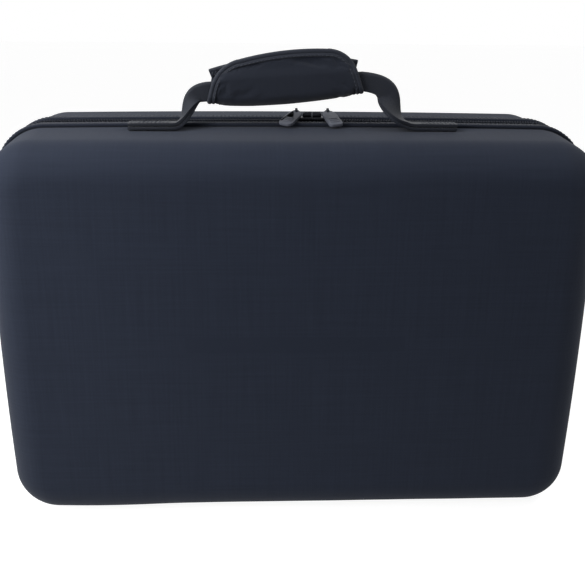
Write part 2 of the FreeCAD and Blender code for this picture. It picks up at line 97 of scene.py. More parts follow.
# points of the rim, their outward directions and the length run at each
def traceOutline(step=5.0, cornerStep=1.8):
    reach, arcs = outlineArcs()
    count = ceil(reach / step)
    points = [(x, bag["low"], 0.0, -1.0) for x in np.linspace(0, reach, count, endpoint=False)]
    for centre, start, end, radius in arcs:
        grain = cornerStep if radius == bag["corner"] else step
        for a in np.linspace(start, end, ceil(abs(end - start) * radius / grain), endpoint=False):
            points.append((centre[0] + radius * cos(a), centre[1] + radius * sin(a), cos(a), sin(a)))
    points += [(x, bag["low"], 0.0, -1.0) for x in np.linspace(-reach, 0, count, endpoint=False)]
    table = np.array(points)
    gaps = np.hypot(*(np.roll(table[:, :2], -1, axis=0) - table[:, :2]).T)
    return table[:, :2], table[:, 2:], np.concatenate([[0], np.cumsum(gaps)])


rimPoints, rimNormals, rimLength = traceOutline()


# points and outward directions at these lengths round the outline
def along(lengths, proud):
    closed = [np.concatenate([a, a[:1]]) for a in (rimPoints, rimNormals)]
    at = [np.stack([np.interp(lengths, rimLength, a[:, k]) for k in (0, 1)], 1) for a in closed]
    at[1] /= np.linalg.norm(at[1], axis=1, keepdims=True)
    return at[0] + at[1] * np.reshape(proud, (-1, 1)), at[1]


# a slow, smooth unevenness between -1 and 1
def ripple(s, seed, scale):
    turn = np.random.default_rng(seed).uniform(0, 2 * pi, 4)
    waves = [np.sin(s / scale * k + t) / n for n, (k, t) in enumerate(zip((1.0, 2.3, 4.1, 7.7), turn), 1)]
    return sum(waves) / 2.1


# adds a node, with values or links for its inputs
def put(tree, kind, inputs=None, **settings):
    node = tree.nodes.new(kind)
    for name, value in settings.items():
        setattr(node, name, value)
    for name, value in (inputs or {}).items():
        if isinstance(value, bpy.types.NodeSocket):
            tree.links.new(value, node.inputs[name])
        else:
            node.inputs[name].default_value = value
    return node


def calc(tree, operation, *values):
    return put(tree, "ShaderNodeMath", dict(enumerate(values)), operation=operation).outputs[0]


def blendColours(tree, share, first, second):
    node = put(tree, "ShaderNodeMix", {0: share}, data_type="RGBA")
    for socket, value in ((node.inputs[6], first), (node.inputs[7], second)):
        if isinstance(value, bpy.types.NodeSocket):
            tree.links.new(value, socket)
        else:
            socket.default_value = (*value, 1)
    return node.outputs[2]


def startGroup(name, inputs, outputs):
    tree = bpy.data.node_groups.new(name, "ShaderNodeTree")
    for label, kind, value in inputs:
        socket = tree.interface.new_socket(label, in_out="INPUT", socket_type="NodeSocket" + kind)
        if value is not None:
            socket.default_value = value
    for label in outputs:
        tree.interface.new_socket(label, in_out="OUTPUT", socket_type="NodeSocketFloat")
    return tree, put(tree, "NodeGroupInput").outputs, put(tree, "NodeGroupOutput").inputs


def finishGroup(tree, ends, **values):
    for name, value in values.items():
        tree.links.new(value, ends[name])
    return tree


# plain weave with uneven threads
def makeClothWeave():
    inputs = [("Vector", "Vector", None), ("Thread", "Float", 0.0009), ("Slub", "Float", 1.0)]
    tree, given, ends = startGroup("clothWeave", inputs, ["Height", "Tone"])
    axes = put(tree, "ShaderNodeSeparateXYZ", {0: given["Vector"]}).outputs
    u, v = [calc(tree, "DIVIDE", axis, given["Thread"]) for axis in axes[:2]]
    warp, weft = [calc(tree, "ABSOLUTE", calc(tree, "SINE", calc(tree, "MULTIPLY", x, pi))) for x in (u, v)]
    cell = calc(tree, "ADD", calc(tree, "FLOOR", u), calc(tree, "FLOOR", v))
    over = calc(tree, "MODULO", calc(tree, "ABSOLUTE", cell), 2.0)
    height = put(tree, "ShaderNodeMix", {0: over, 2: warp, 3: weft}).outputs[0]
    streaks = []
    for scale in ((14.0, 620.0, 1.0), (620.0, 14.0, 1.0)):
        scaled = {0: given["Vector"], 1: scale}
        spread = put(tree, "ShaderNodeVectorMath", scaled, operation="MULTIPLY").outputs[0]
        noise = {"Vector": spread, "Scale": 1.0, "Detail": 3.0, "Roughness": 0.6}
        streaks.append(put(tree, "ShaderNodeTexNoise", noise).outputs[0])
    mean = calc(tree, "MULTIPLY", calc(tree, "ADD", *streaks), 0.5)
    tone = calc(tree, "ADD", calc(tree, "MULTIPLY", calc(tree, "SUBTRACT", mean, 0.5), given["Slub"]), 0.5)
    return finishGroup(tree, ends, Height=height, Tone=tone)


# woven tape: ribs across its length, in lanes
def makeRibWeave():
    inputs = [("Vector", "Vector", None), ("Rib", "Float", 0.0011), ("Lane", "Float", 0.0016)]
    tree, given, ends = startGroup("ribWeave", inputs, ["Height", "Tone"])
    axes = put(tree, "ShaderNodeSeparateXYZ", {0: given["Vector"]}).outputs
    lane = calc(tree, "DIVIDE", axes[1], given["Lane"])
    odd = calc(tree, "MODULO", calc(tree, "ABSOLUTE", calc(tree, "FLOOR", lane)), 2.0)
    step = calc(tree, "MULTIPLY", odd, 0.5)
    rib = calc(tree, "ADD", calc(tree, "DIVIDE", axes[0], given["Rib"]), step)
    ridge = calc(tree, "ABSOLUTE", calc(tree, "SINE", calc(tree, "MULTIPLY", rib, pi)))
    cord = calc(tree, "ABSOLUTE", calc(tree, "SINE", calc(tree, "MULTIPLY", lane, pi)))
    height = calc(tree, "MULTIPLY", ridge, calc(tree, "POWER", cord, 0.5))
    noise = {"Vector": given["Vector"], "Scale": 900.0, "Detail": 2.0}
    fuzz = put(tree, "ShaderNodeTexNoise", noise).outputs[0]
    tone = calc(tree, "ADD", calc(tree, "MULTIPLY", height, 0.6), calc(tree, "MULTIPLY", fuzz, 0.4))
    return finishGroup(tree, ends, Height=height, Tone=tone)


# wide patches and a fine grain, for every finish
def makeSurfaceWear():
    inputs = [("Vector", "Vector", None), ("Scale", "Float", 6.0), ("Fine", "Float", 700.0)]
    tree, given, ends = startGroup("surfaceWear", inputs, ["Patch", "Grain"])
    found = []
    for scale, detail in ((given["Scale"], 4.0), (given["Fine"], 2.0)):
        noise = {"Vector": given["Vector"], "Scale": scale, "Detail": detail}
        found.append(put(tree, "ShaderNodeTexNoise", noise).outputs[0])
    return finishGroup(tree, ends, Patch=found[0], Grain=found[1])


# diagonal net: a mask that is 1 on its cords
def makeNetMesh():
    inputs = [("Vector", "Vector", None), ("Cell", "Float", 0.0042), ("Cord", "Float", 0.16)]
    tree, given, ends = startGroup("netMesh", inputs, ["Mask", "Height"])
    axes = put(tree, "ShaderNodeSeparateXYZ", {0: given["Vector"]}).outputs
    lines = []
    for operation in ("ADD", "SUBTRACT"):
        run = calc(tree, "DIVIDE", calc(tree, operation, axes[0], axes[1]), given["Cell"])
        lines.append(calc(tree, "ABSOLUTE", calc(tree, "SUBTRACT", calc(tree, "FRACT", run), 0.5)))
    near = calc(tree, "MINIMUM", *lines)
    mask = calc(tree, "LESS_THAN", near, given["Cord"])
    height = calc(tree, "SUBTRACT", 1.0, calc(tree, "DIVIDE", near, given["Cord"]))
    return finishGroup(tree, ends, Mask=mask, Height=height)


clothWeave, ribWeave = makeClothWeave(), makeRibWeave()
surfaceWear, netMesh = makeSurfaceWear(), makeNetMesh()

# each finish: dark and light colour of the surface, its weave, gloss and relief; lengths in metres
finishes = {
    "shellCloth": {"dark": (0.0073, 0.0099, 0.0173), "light": (0.0163, 0.0211, 0.0345), "weave": clothWeave,
                   "pitch": {"Thread": 0.0009, "Slub": 1.5}, "roughness": (0.70, 0.82), "specular": 0.06,
                   "sheen": 0.04, "bump": 0.25, "depth": 0.00012},
    "lining": {"dark": (0.030, 0.032, 0.037), "light": (0.055, 0.058, 0.064), "weave": clothWeave,
               "pitch": {"Thread": 0.0006, "Slub": 0.5}, "roughness": (0.80, 0.95), "sheen": 0.3,
               "bump": 0.3, "depth": 0.00015, "uv": False},
    "trimWebbing": {"dark": (0.0055, 0.0070, 0.0120), "light": (0.0150, 0.0185, 0.0290), "weave": ribWeave,
                    "pitch": {"Rib": 0.0011, "Lane": 0.0010}, "roughness": (0.78, 0.92), "specular": 0.06,
                    "sheen": 0.08, "bump": 0.5, "depth": 0.00025},
    "bindingTape": {"dark": (0.0050, 0.0065, 0.0110), "light": (0.0122, 0.0152, 0.0240), "weave": ribWeave,
                    "pitch": {"Rib": 0.0008, "Lane": 0.0008}, "roughness": (0.50, 0.65), "specular": 0.1,
                    "sheen": 0.15, "bump": 0.4, "depth": 0.00018},
    "zipperTape": {"dark": (0.0050, 0.0062, 0.0095), "light": (0.0120, 0.0145, 0.0205), "weave": ribWeave,
                   "pitch": {"Rib": 0.0007, "Lane": 0.0014}, "roughness": (0.62, 0.78), "specular": 0.1,
                   "sheen": 0.1, "bump": 0.35, "depth": 0.00015},
    "zipperTeeth": {"dark": (0.0060, 0.0072, 0.0105), "light": (0.0110, 0.0130, 0.0185),
                    "roughness": (0.62, 0.76), "specular": 0.06, "bump": 0.1, "depth": 0.00005},
    "handleWebbing": {"dark": (0.0034, 0.0045, 0.0078), "light": (0.0092, 0.0117, 0.0188), "weave": ribWeave,
                      "pitch": {"Rib": 0.0012, "Lane": 0.0013}, "roughness": (0.55, 0.68), "specular": 0.14,
                      "sheen": 0.08, "bump": 0.5, "depth": 0.0003},
    "wrapCloth": {"dark": (0.0042, 0.0058, 0.0102), "light": (0.0086, 0.0112, 0.0192), "weave": clothWeave,
                  "pitch": {"Thread": 0.0008, "Slub": 1.0}, "roughness": (0.60, 0.75), "specular": 0.06,
                  "sheen": 0.2, "bump": 0.3, "depth": 0.00012, "uv": False},
    "thread": {"dark": (0.009, 0.011, 0.017), "light": (0.021, 0.025, 0.036), "roughness": (0.45, 0.60),
               "sheen": 0.1, "bump": 0.2, "depth": 0.0001},
    "sliderMetal": {"dark": (0.009, 0.010, 0.014), "light": (0.018, 0.020, 0.027), "roughness": (0.40, 0.54),
                    "metallic": 0.5, "bump": 0.08, "depth": 0.00005},
    "pullRubber": {"dark": (0.048, 0.052, 0.066), "light": (0.078, 0.084, 0.104), "roughness": (0.45, 0.60),
                   "bump": 0.25, "depth": 0.0001},
    "hookLoop": {"dark": (0.008, 0.009, 0.012), "light": (0.022, 0.025, 0.032), "roughness": (0.85, 0.95),
                 "sheen": 0.4, "bump": 0.8, "depth": 0.0006},
    "backingPlastic": {"dark": (0.016, 0.016, 0.018), "light": (0.026, 0.026, 0.029),
                       "roughness": (0.40, 0.55), "bump": 0.2, "depth": 0.0001},
    "foam": {"dark": (0.012, 0.012, 0.014), "light": (0.036, 0.037, 0.042), "roughness": (0.88, 0.98),
             "sheen": 0.2, "bump": 0.6, "depth": 0.0006},
    "net": {"dark": (0.010, 0.011, 0.014), "light": (0.026, 0.029, 0.036), "roughness": (0.50, 0.65),
            "bump": 0.5, "depth": 0.0004},
}


def makeMaterial(name, look):
    material = bpy.data.materials.new(name)
    material.use_nodes = True
    tree = material.node_tree
    shader = tree.nodes["Principled BSDF"]
    places = put(tree, "ShaderNodeTexCoord").outputs
    wear = put(tree, "ShaderNodeGroup", node_tree=surfaceWear)
    tree.links.new(places["Object"], wear.inputs["Vector"])
    tone = height = wear.outputs["Grain"]
    if "weave" in look:
        weave = put(tree, "ShaderNodeGroup", node_tree=look["weave"])
        tree.links.new(places["UV" if look.get("uv", True) else "Object"], weave.inputs["Vector"])
        for label, value in look["pitch"].items():
            weave.inputs[label].default_value = value
        tone, height = weave.outputs["Tone"], weave.outputs["Height"]
    patch = wear.outputs["Patch"]
    share = calc(tree, "ADD", calc(tree, "MULTIPLY", tone, 0.75), calc(tree, "MULTIPLY", patch, 0.25))
    tree.links.new(blendColours(tree, share, look["dark"], look["light"]), shader.inputs["Base Color"])
    low, top = look["roughness"]
    rough = put(tree, "ShaderNodeMapRange", {0: patch, 3: low, 4: top})
    tree.links.new(rough.outputs[0], shader.inputs["Roughness"])
    shader.inputs["Metallic"].default_value = look.get("metallic", 0.0)
    shader.inputs["Sheen Weight"].default_value = look.get("sheen", 0.0)
    shader.inputs["Sheen Roughness"].default_value = 0.5
    shader.inputs["Specular IOR Level"].default_value = look.get("specular", 0.2)
    relief = {"Height": height, "Strength": look["bump"], "Distance": look["depth"]}
    bump = put(tree, "ShaderNodeBump", relief)
    tree.links.new(bump.outputs[0], shader.inputs["Normal"])
    if name == "net":
        mesh = put(tree, "ShaderNodeGroup", node_tree=netMesh)
        tree.links.new(places["UV"], mesh.inputs["Vector"])
        tree.links.new(mesh.outputs["Mask"], shader.inputs["Alpha"])
        tree.links.new(mesh.outputs["Height"], bump.inputs["Height"])
    return material


materials = {name: makeMaterial(name, look) for name, look in finishes.items()}
print("materials made:", len(materials))


def addPiece(name, mesh, finish, extra=()):
    for f in (finish, *extra):
        mesh.materials.append(materials[f])
    piece = bpy.data.objects.new(name, mesh)
    scene.collection.objects.link(piece)
    return piece


# a mesh of quads through a grid of points in millimetres; uv has one more row or column where it wraps
def gridMesh(name, points, uv, wrapRows=False, wrapCols=False, capRows=False, capCols=False, bands=None):
    rows, cols = points.shape[:2]
    mesh = bpy.data.meshes.new(name)
    faces, corners = [], []
    for r in range(rows if wrapRows else rows - 1):
        for c in range(cols if wrapCols else cols - 1):
            ring = [(r, c), (r + 1, c), (r + 1, c + 1), (r, c + 1)]
            faces.append([(a % rows) * cols + b % cols for a, b in ring])
            corners += [uv[a, b] for a, b in ring]
    quads = len(faces)
    if capRows:
        faces += [list(range(cols))[::-1], [(rows - 1) * cols + c for c in range(cols)]]
    if capCols:
        faces += [[r * cols for r in range(rows)], [r * cols + cols - 1 for r in range(rows)][::-1]]
    mesh.from_pydata((points.reshape(-1, 3) / 1000).tolist(), [], faces)
    corners += [uv[0, 0]] * (len(mesh.loops) - len(corners))
    layer = mesh.uv_layers.new(name="UVMap")
    layer.data.foreach_set("uv", (np.array(corners, np.float32) / 1000).ravel())
    if bands is not None:
        count = cols if wrapCols else cols - 1
        for i in range(quads):
            mesh.polygons[i].material_index = bands[i % count]
        for i, band in zip(range(quads, len(faces)), (bands[0], bands[-1])):
            mesh.polygons[i].material_index = band
    outward(mesh)
    return mesh


# turns the faces outwards and shades them smooth, except across sharp edges
def outward(mesh, angle=35):
    work = bmesh.new()
    work.from_mesh(mesh)
    bmesh.ops.recalc_face_normals(work, faces=work.faces)
    work.to_mesh(mesh)
    work.free()
    mesh.polygons.foreach_set("use_smooth", [True] * len(mesh.polygons))
    mesh.set_sharp_from_angle(angle=radians(angle))


# applies a piece's modifiers
def settle(piece):
    graph = bpy.context.evaluated_depsgraph_get()
    ready = piece.evaluated_get(graph)
    made = bpy.data.meshes.new_from_object(ready, preserve_all_data_layers=True, depsgraph=graph)
    piece.modifiers.clear()
    piece.data = made


# thickens a sheet by half a thickness to each side
def addWall(piece, thickness, even=False):
    wall = piece.modifiers.new("wall", "SOLIDIFY")
    wall.thickness, wall.offset, wall.use_even_offset = thickness / 1000, 0.0, even


# bevels the edges that are sharper than an angle
def breakEdges(piece, width, angle):
    edge = piece.modifiers.new("edge", "BEVEL")
    edge.width, edge.segments = width / 1000, 2
    edge.limit_method, edge.angle_limit = "ANGLE", radians(angle)


# sets what a finished piece rides on, and hides the nodes that it stands for
def keep(piece, body, finish, *replaced):
    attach(piece, body)
    if replaced:
        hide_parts(*replaced)


# points or directions round the rim as (x, y, z)
def atDepth(points, y):
    return np.stack([points[:, 0], np.full(len(points), y), points[:, 1]], 1)


# a closed section of (y, proud) points carried round the bag's rim, or along a part of it
def sweep(name, section, finish, start=None, end=None, step=5.0, lift=None):
    section = np.array(section, float)
    if start is None:
        lengths, around = rimLength[:-1], True
        points, normals = rimPoints, rimNormals
    else:
        lengths, around = np.linspace(start, end, ceil((end - start) / step) + 1), False
        points, normals = along(lengths, np.zeros(len(lengths)))
    proud = np.tile(section[:, 1], (len(lengths), 1))
    if lift is not None:
        proud = proud + lift(lengths[:, None], section[None, :, 0], section[None, :, 1])
    xz = points[:, None, :] + normals[:, None, :] * proud[:, :, None]
    y = np.broadcast_to(section[:, 0], proud.shape)
    grid = np.stack([xz[:, :, 0], y, xz[:, :, 1]], 2)
    gaps = np.hypot(*(np.roll(section, -1, axis=0) - section).T)
    across = np.concatenate([[0], np.cumsum(gaps)])
    runs = np.append(lengths, rimLength[-1]) if around else lengths
    uv = np.stack(np.meshgrid(runs, across, indexing="ij"), 2)
    return addPiece(name, gridMesh(name, grid, uv, around, True, not around), finish)


# one Geometry Nodes tree sets copies of a small piece along a line
def makeRowTree():
    tree = bpy.data.node_groups.new("piecesAlongLine", "GeometryNodeTree")
    face = tree.interface
    face.new_socket("Geometry", in_out="OUTPUT", socket_type="NodeSocketGeometry")
    face.new_socket("Geometry", in_out="INPUT", socket_type="NodeSocketGeometry")
    sockets = {}
    inputs = [("Piece", "Object", None), ("Spacing", "Float", 0.003), ("Unevenness", "Float", 0.03),
              ("Seed", "Int", 7), ("Finish", "Material", None)]
    for label, kind, value in inputs:
        socket = face.new_socket(label, in_out="INPUT", socket_type="NodeSocket" + kind)
        if value is not None:
            socket.default_value = value
        sockets[label] = socket.identifier
    given = put(tree, "NodeGroupInput").outputs
    line = put(tree, "GeometryNodeMeshToCurve", {0: given["Geometry"]}).outputs[0]
    spaced = {"Curve": line, "Length": given["Spacing"]}
    line = put(tree, "GeometryNodeResampleCurve", spaced, mode="LENGTH").outputs[0]
    tangent = put(tree, "GeometryNodeInputTangent").outputs[0]
    named = {"Name": "outwards"}
    outwards = put(tree, "GeometryNodeInputNamedAttribute", named, data_type="FLOAT_VECTOR").outputs[0]
    align = "FunctionNodeAlignRotationToVector"
    turn = put(tree, align, {"Vector": tangent}, axis="X").outputs[0]
    turn = put(tree, align, {"Rotation": turn, "Vector": outwards}, axis="Z", pivot_axis="X").outputs[0]
    shape = put(tree, "GeometryNodeObjectInfo", {"Object": given["Piece"]}).outputs["Geometry"]
    low = calc(tree, "SUBTRACT", 1.0, given["Unevenness"])
    top = calc(tree, "ADD", 1.0, given["Unevenness"])
    size = put(tree, "FunctionNodeRandomValue", {"Seed": given["Seed"]}, data_type="FLOAT")
    tree.links.new(low, size.inputs[2])
    tree.links.new(top, size.inputs[3])
    copies = {"Points": line, "Instance": shape, "Rotation": turn, "Scale": size.outputs[1]}
    spread = put(tree, "GeometryNodeInstanceOnPoints", copies).outputs[0]
    whole = put(tree, "GeometryNodeRealizeInstances", {0: spread}).outputs[0]
    whole = put(tree, "GeometryNodeSetMaterial", {"Geometry": whole, "Material": given["Finish"]}).outputs[0]
    tree.links.new(whole, put(tree, "NodeGroupOutput").inputs[0])
    return tree, sockets


rowTree, rowSockets = makeRowTree()


# copies of shape along lines; each line is (points in millimetres, outward directions, closed)
def setAlong(name, lines, shape, finish, spacing, seed, unevenness=0.06):
    verts, edges, out = [], [], []
    for points, normals, closed in lines:
        first = len(verts)
        verts += (np.array(points) / 1000).tolist()
        out += np.array(normals).tolist()
        edges += [(i, i + 1) for i in range(first, len(verts) - 1)]
        if closed:
            edges.append((len(verts) - 1, first))
    mesh = bpy.data.meshes.new(name)
    mesh.from_pydata(verts, edges, [])
    attribute = mesh.attributes.new("outwards", "FLOAT_VECTOR", "POINT")
    attribute.data.foreach_set("vector", np.array(out, np.float32).ravel())
    piece = bpy.data.objects.new(name, mesh)
    scene.collection.objects.link(piece)
    modifier = piece.modifiers.new("row", "NODES")
    modifier.node_group = rowTree
    values = {"Piece": shape, "Spacing": spacing / 1000, "Unevenness": unevenness, "Seed": seed,
              "Finish": materials[finish]}
    for label, value in values.items():
        modifier[rowSockets[label]] = value
    settle(piece)
    if not piece.data.materials:
        piece.data.materials.append(materials[finish])
    piece.data.polygons.foreach_set("use_smooth", [True] * len(piece.data.polygons))
    return piece


def closedMesh(name, points, faces):
    mesh = bpy.data.meshes.new(name)
    mesh.from_pydata((np.array(points) / 1000).tolist(), [], faces)
    outward(mesh, 60)
    return mesh


# faces of a tube of rings, closed at both ends
def tubeFaces(rings, sides):
    pairs = [(r * sides + k, r * sides + (k + 1) % sides) for r in range(rings - 1) for k in range(sides)]
    ends = [tuple(range(sides))[::-1], tuple(range((rings - 1) * sides, rings * sides))]
    return [(a, b, b + sides, a + sides) for a, b in pairs] + ends


# a small closed bar along X through (x, lift, half width, half height)
def barMesh(name, stations, sides=6):
    turns = [2 * pi * k / sides for k in range(sides)]
    points = [(x, w * cos(a), lift + h * sin(a)) for x, lift, w, h in stations for a in turns]
    return closedMesh(name, points, tubeFaces(len(stations), sides))


stitch = [(-1.15, -0.15, 0.12, 0.08), (-0.75, 0.12, 0.24, 0.20), (0, 0.2, 0.27, 0.22),
          (0.75, 0.12, 0.24, 0.20), (1.15, -0.15, 0.12, 0.08)]
stitchShape = bpy.data.objects.new("stitchShape", barMesh("stitchShape", stitch))
print("helpers ready")

# shells: outside cloth and lining in one closed mesh
shellLook = {"crown": 1.2, "unevenness": 0.35, "faceRings": 22, "floorRings": 8,
             "sag": 1.9, "sagX": -15.0, "sagWidth": 95.0,  # the lid's top dips under the handle
             "heel": 1.6, "heelX": -145.0, "heelWidth": 50.0}  # its lower left edge swells


def insideInset(y):
    start = bag["flangeY"] + bag["ramp"]
    drafted = bag["wall"] + (y - bag["flangeY"]) * tan(radians(bag["draft"]))
    return drafted if y >= start else bag["flangeWall"]


# the round edge between a drafted wall and the face, from the wall to the face
def roundedEdge(floor, draft, inset, radius, count):
    lean = tan(radians(draft))
    y = floor - radius
    centre = inset + (y - bag["flangeY"]) * lean + radius * sqrt(1 + lean * lean)
    turns = np.linspace(radians(draft), pi / 2, count)
    return [(y + radius * sin(a), centre - radius * cos(a)) for a in turns]


# (distance from the zipper plane, inset), outside from the face to the rim and inside back to the floor
def shellSection(side):
    rim, flange, wall, draft = bag["rimY"], bag["flangeY"], bag["flangeWall"], bag["outerDraft"][side]
    outer = roundedEdge(bag["faceY"], draft, 0.0, bag["outerRadius"][side], 15)[::-1]
    outer += [(y, (y - flange) * tan(radians(draft))) for y in (54, 46, 38, 30, 24)]
    outer += [(flange, 0.0), (18, 0.0), (rim + 0.4, 0.0)]
    inner = [(rim, 0.4), (rim, wall - 0.4), (rim + 0.4, wall), (18, wall), (flange, wall)]
    inner += [(flange + 3, wall + 1.0)] + [(y, insideInset(y)) for y in (28, 40, 52)]
    floor, radius = bag["faceY"] - bag["wall"], bag["faceRadius"] - bag["wall"]
    inner += roundedEdge(floor, bag["draft"], bag["wall"], radius, 10)
    whole = outer + inner
    gaps = [hypot(b[0] - a[0], b[1] - a[1]) for a, b in zip(whole, whole[1:])]
    return np.array(whole), np.concatenate([[0], np.cumsum(gaps)]), len(outer)


# rings from a face's edge towards its middle line, with a slight crown
def faceRings(boundary, y, rings, crown):
    wide, tall = np.ptp(boundary, axis=0)
    reach = (wide - tall) / 2
    heart = np.stack([np.clip(boundary[:, 0], -reach, reach), np.full(len(boundary), middleZ)], 1)
    even = np.linspace(0, 1, rings + 1)[1:]
    shares = smooth(even) * 0.35 + even * 0.6
    flat = [boundary + (heart - boundary) * t for t in shares]
    return [(p, y + crown * float(smooth(t * 1.4))) for p, t in zip(flat, shares)]


def makeShell(name, side, node, body):
    section, lengths, outerCount = shellSection(side)
    outerEdge, innerEdge = [rimPoints - rimNormals * inset for inset in (section[0][1], section[-1][1])]
    grid, uv = [], []
    for points, y in faceRings(outerEdge, section[0][0], shellLook["faceRings"], shellLook["crown"])[::-1]:
        grid.append(atDepth(points, y))
        uv.append(points)
    for (y, inset), run in zip(section, lengths):
        grid.append(atDepth(rimPoints - rimNormals * inset, y))
        uv.append(rimPoints - rimNormals * (section[0][1] - run))
    for points, y in faceRings(innerEdge, section[-1][0], shellLook["floorRings"], 0.0):
        grid.append(atDepth(points, y))
        uv.append(points)
    grid, uv = np.stack(grid, 1), np.stack(uv, 1)
    relax(grid, side)
    grid[:, :, 1] *= side
    outer = shellLook["faceRings"] + outerCount
    bands = [0 if c < outer else 1 for c in range(grid.shape[1] - 1)]  # cloth outside, lining inside
    mesh = gridMesh(name, grid, np.concatenate([uv, uv[:1]]), True, False, False, True, bands)
    keep(addPiece(name, mesh, "shellCloth", ["lining"]), body, "shellCloth", node)


# the pressed foam is never quite true: the lid's top sinks a little under the handle
def relax(grid, side):
    x, y, z = grid[:, :, 0], grid[:, :, 1], grid[:, :, 2]
    away = smooth((y - 21) / 18)
    if side < 0:
        near = np.exp(-((x - shellLook["sagX"]) / shellLook["sagWidth"]) ** 2)
        grid[:, :, 2] -= shellLook["sag"] * (near * away * smooth((z - 150) / 130))
        near = np.exp(-((x - shellLook["heelX"]) / shellLook["heelWidth"]) ** 2)
        grid[:, :, 2] -= shellLook["heel"] * (near * away * smooth((60 - z) / 60)) * smooth((z - 4) / 4)
    waves = ripple(x + 0.6 * z, 3 if side < 0 else 4, 60)
    grid[:, :, 1] += shellLook["unevenness"] * away * waves * smooth((y - 60) / 20)


makeShell("lidShell", -1, "front_shell", "lid")
makeShell("baseShell", 1, "rear_shell", "base")
print("shells made")

# the heavy tape round each rim, its bound edge, and the zipper
rimLook = {"trimLow": 0.8, "trimHigh": 3.0, "trimWidth": 8.0, "pucker": 0.14,
           "stitchPitch": 3.1, "stitchInset": 1.5, "stitchSink": 0.12,
           "toothPitch": 2.05, "toothLine": 0.3,
           "tape": [(0.6, 0.05), (0.6, 0.75), (4.5, 0.8), (8.0, 0.72), (12.0, 0.78), (19.5, 0.78),
                    (19.5, 0.02), (8.0, -0.02)]}  # (distance from the zipper plane, height over the rim)


def trimSection(side):
    y0, w, lo, hi = bag["bandHalf"], rimLook["trimWidth"], rimLook["trimLow"], rimLook["trimHigh"]
    half = [(0.15, lo), (0.0, lo + 0.5), (0.0, hi - 1.0), (0.25, hi - 0.4), (0.75, hi - 0.08),
            (1.4, hi - 0.1), (2.2, hi), (w / 2, hi)]
    whole = half + [(w - a, b) for a, b in half[-2::-1]]
    return [(side * (y0 + a), b) for a, b in whole]


# the binding folds round the shell's edge under the trim
def bindingSection(side):
    y0, y1 = bag["bandHalf"], bag["rimY"]
    section = [(y0, -0.3), (y0, -3.7), (y0 + 0.3, -4.0), (21, -4.0), (21, -3.0), (y1, -3.0), (y1, 0.0),
               (y0 + 0.3, 0.0)]
    return [(side * y, p) for y, p in section]


# the trim's outside draws in a little along its length
def puckered(seed):
    def lift(s, y, proud):
        return -np.abs(ripple(s, seed, 9.0)) * rimLook["pucker"] * (proud > 1.5)
    return lift


def rimLine(y, proud):
    return atDepth(rimPoints + rimNormals * proud, y), atDepth(rimNormals, 0.0), True


def zipLine(y, proud, start, end):
    lengths = np.arange(start, end, 2.0)
    points, normals = along(lengths, np.full(len(lengths), proud))
    return atDepth(points, y), atDepth(normals, 0.0), False


# one turn of the zipper's coil: a bar across the row with a round head at the meeting line
def makeTooth():
    section = [(-0.62, 0.0), (-0.66, 0.9), (-0.42, 1.55), (0.0, 1.8), (0.42, 1.55), (0.66, 0.9), (0.62, 0.0)]
    rings = [(-3.6, 0.75, 0.35), (-3.2, 1.0, 0.0), (-1.0, 1.0, 0.0), (0.1, 1.08, 0.0), (0.55, 0.8, 0.3)]
    points = [(x * grow, y, 0.7 + z * (1 - drop * 0.5)) for y, grow, drop in rings for x, z in section]
    mesh = closedMesh("toothShape", points, tubeFaces(len(rings), len(section)))
    return bpy.data.objects.new("toothShape", mesh)


tooth = makeTooth()
toothBack = tooth.copy()
toothBack.data = tooth.data.copy()
toothBack.data.transform(Matrix.Rotation(pi, 4, "Z"))
zipStart, zipStop = bag["zipEnd"], rimLength[-1] - bag["zipEnd"]


def makeRim(side, body, label):
    trim = sweep(label + "Trim", trimSection(side), "trimWebbing", lift=puckered(11 + side))
    keep(trim, body, "trimWebbing", label + "_trim")
    inset, proud = rimLook["stitchInset"], rimLook["trimHigh"] - rimLook["stitchSink"]
    places = [bag["bandHalf"] + w for w in (inset, rimLook["trimWidth"] - inset)]
    rows = [rimLine(side * y, proud) for y in places]
    seams = setAlong(label + "TrimStitches", rows, stitchShape, "thread", rimLook["stitchPitch"], 21 + side)
    keep(seams, body, "thread")
    binding = sweep(label + "Binding", bindingSection(side), "bindingTape")
    keep(binding, body, "bindingTape", label + "_edge_binding")
    section = [(side * y, p) for y, p in rimLook["tape"]]
    tape = sweep(label + "ZipTape", section, "zipperTape", zipStart, zipStop)
    keep(tape, body, "zipperTape", "zipper_tape_" + label)
    offset = rimLook["toothPitch"] / 2 if side < 0 else 0.0  # the two rows interlock
    line = zipLine(side * rimLook["toothLine"], rimLook["toothLine"], zipStart + offset, zipStop)
    shape = toothBack if side > 0 else tooth
    teeth = setAlong(label + "ZipTeeth", [line], shape, "zipperTeeth", rimLook["toothPitch"], 5, 0.0)
    keep(teeth, body, "zipperTeeth", "zipper_row_" + label)


makeRim(-1, "lid", "front")
makeRim(1, "base", "rear")
print("rims and zipper made")

# handle webbing: sewn ends, posts that stand up and fold, and the run through the grip
strap = {"y": -22.4, "half": 12.0, "thickness": 2.1, "slack": 0.3, "sewnGap": 0.15, "edge": 0.5,
         "left": (-121.5, -87.0), "right": (88.5, 120.0), "wrap": (-64.5, 49.5),  # places along X
         "gripHeight": 328.6, "tilt": 4.0,
         "pulls": ((12.0, 23.5), (25.0, 44.0)), "sag": (1.5, 6.0), "footRise": 1.8,  # left post, right post
         "swell": (-3.0, 2.5), "turn": (1.3, 1.75), "turnStart": 0.1,
         "riseRun": 0.12, "leanStart": 0.8, "leanRun": 0.2,  # shares of a post
         "boxEnds": (2.2, 6.0), "boxSides": (1.2, 2.0), "threadLift": 0.02, "stitchPitch": 2.9}


def topZ(x):
    return high - bag["topBow"] + sqrt(bag["topBow"] ** 2 - x * x)


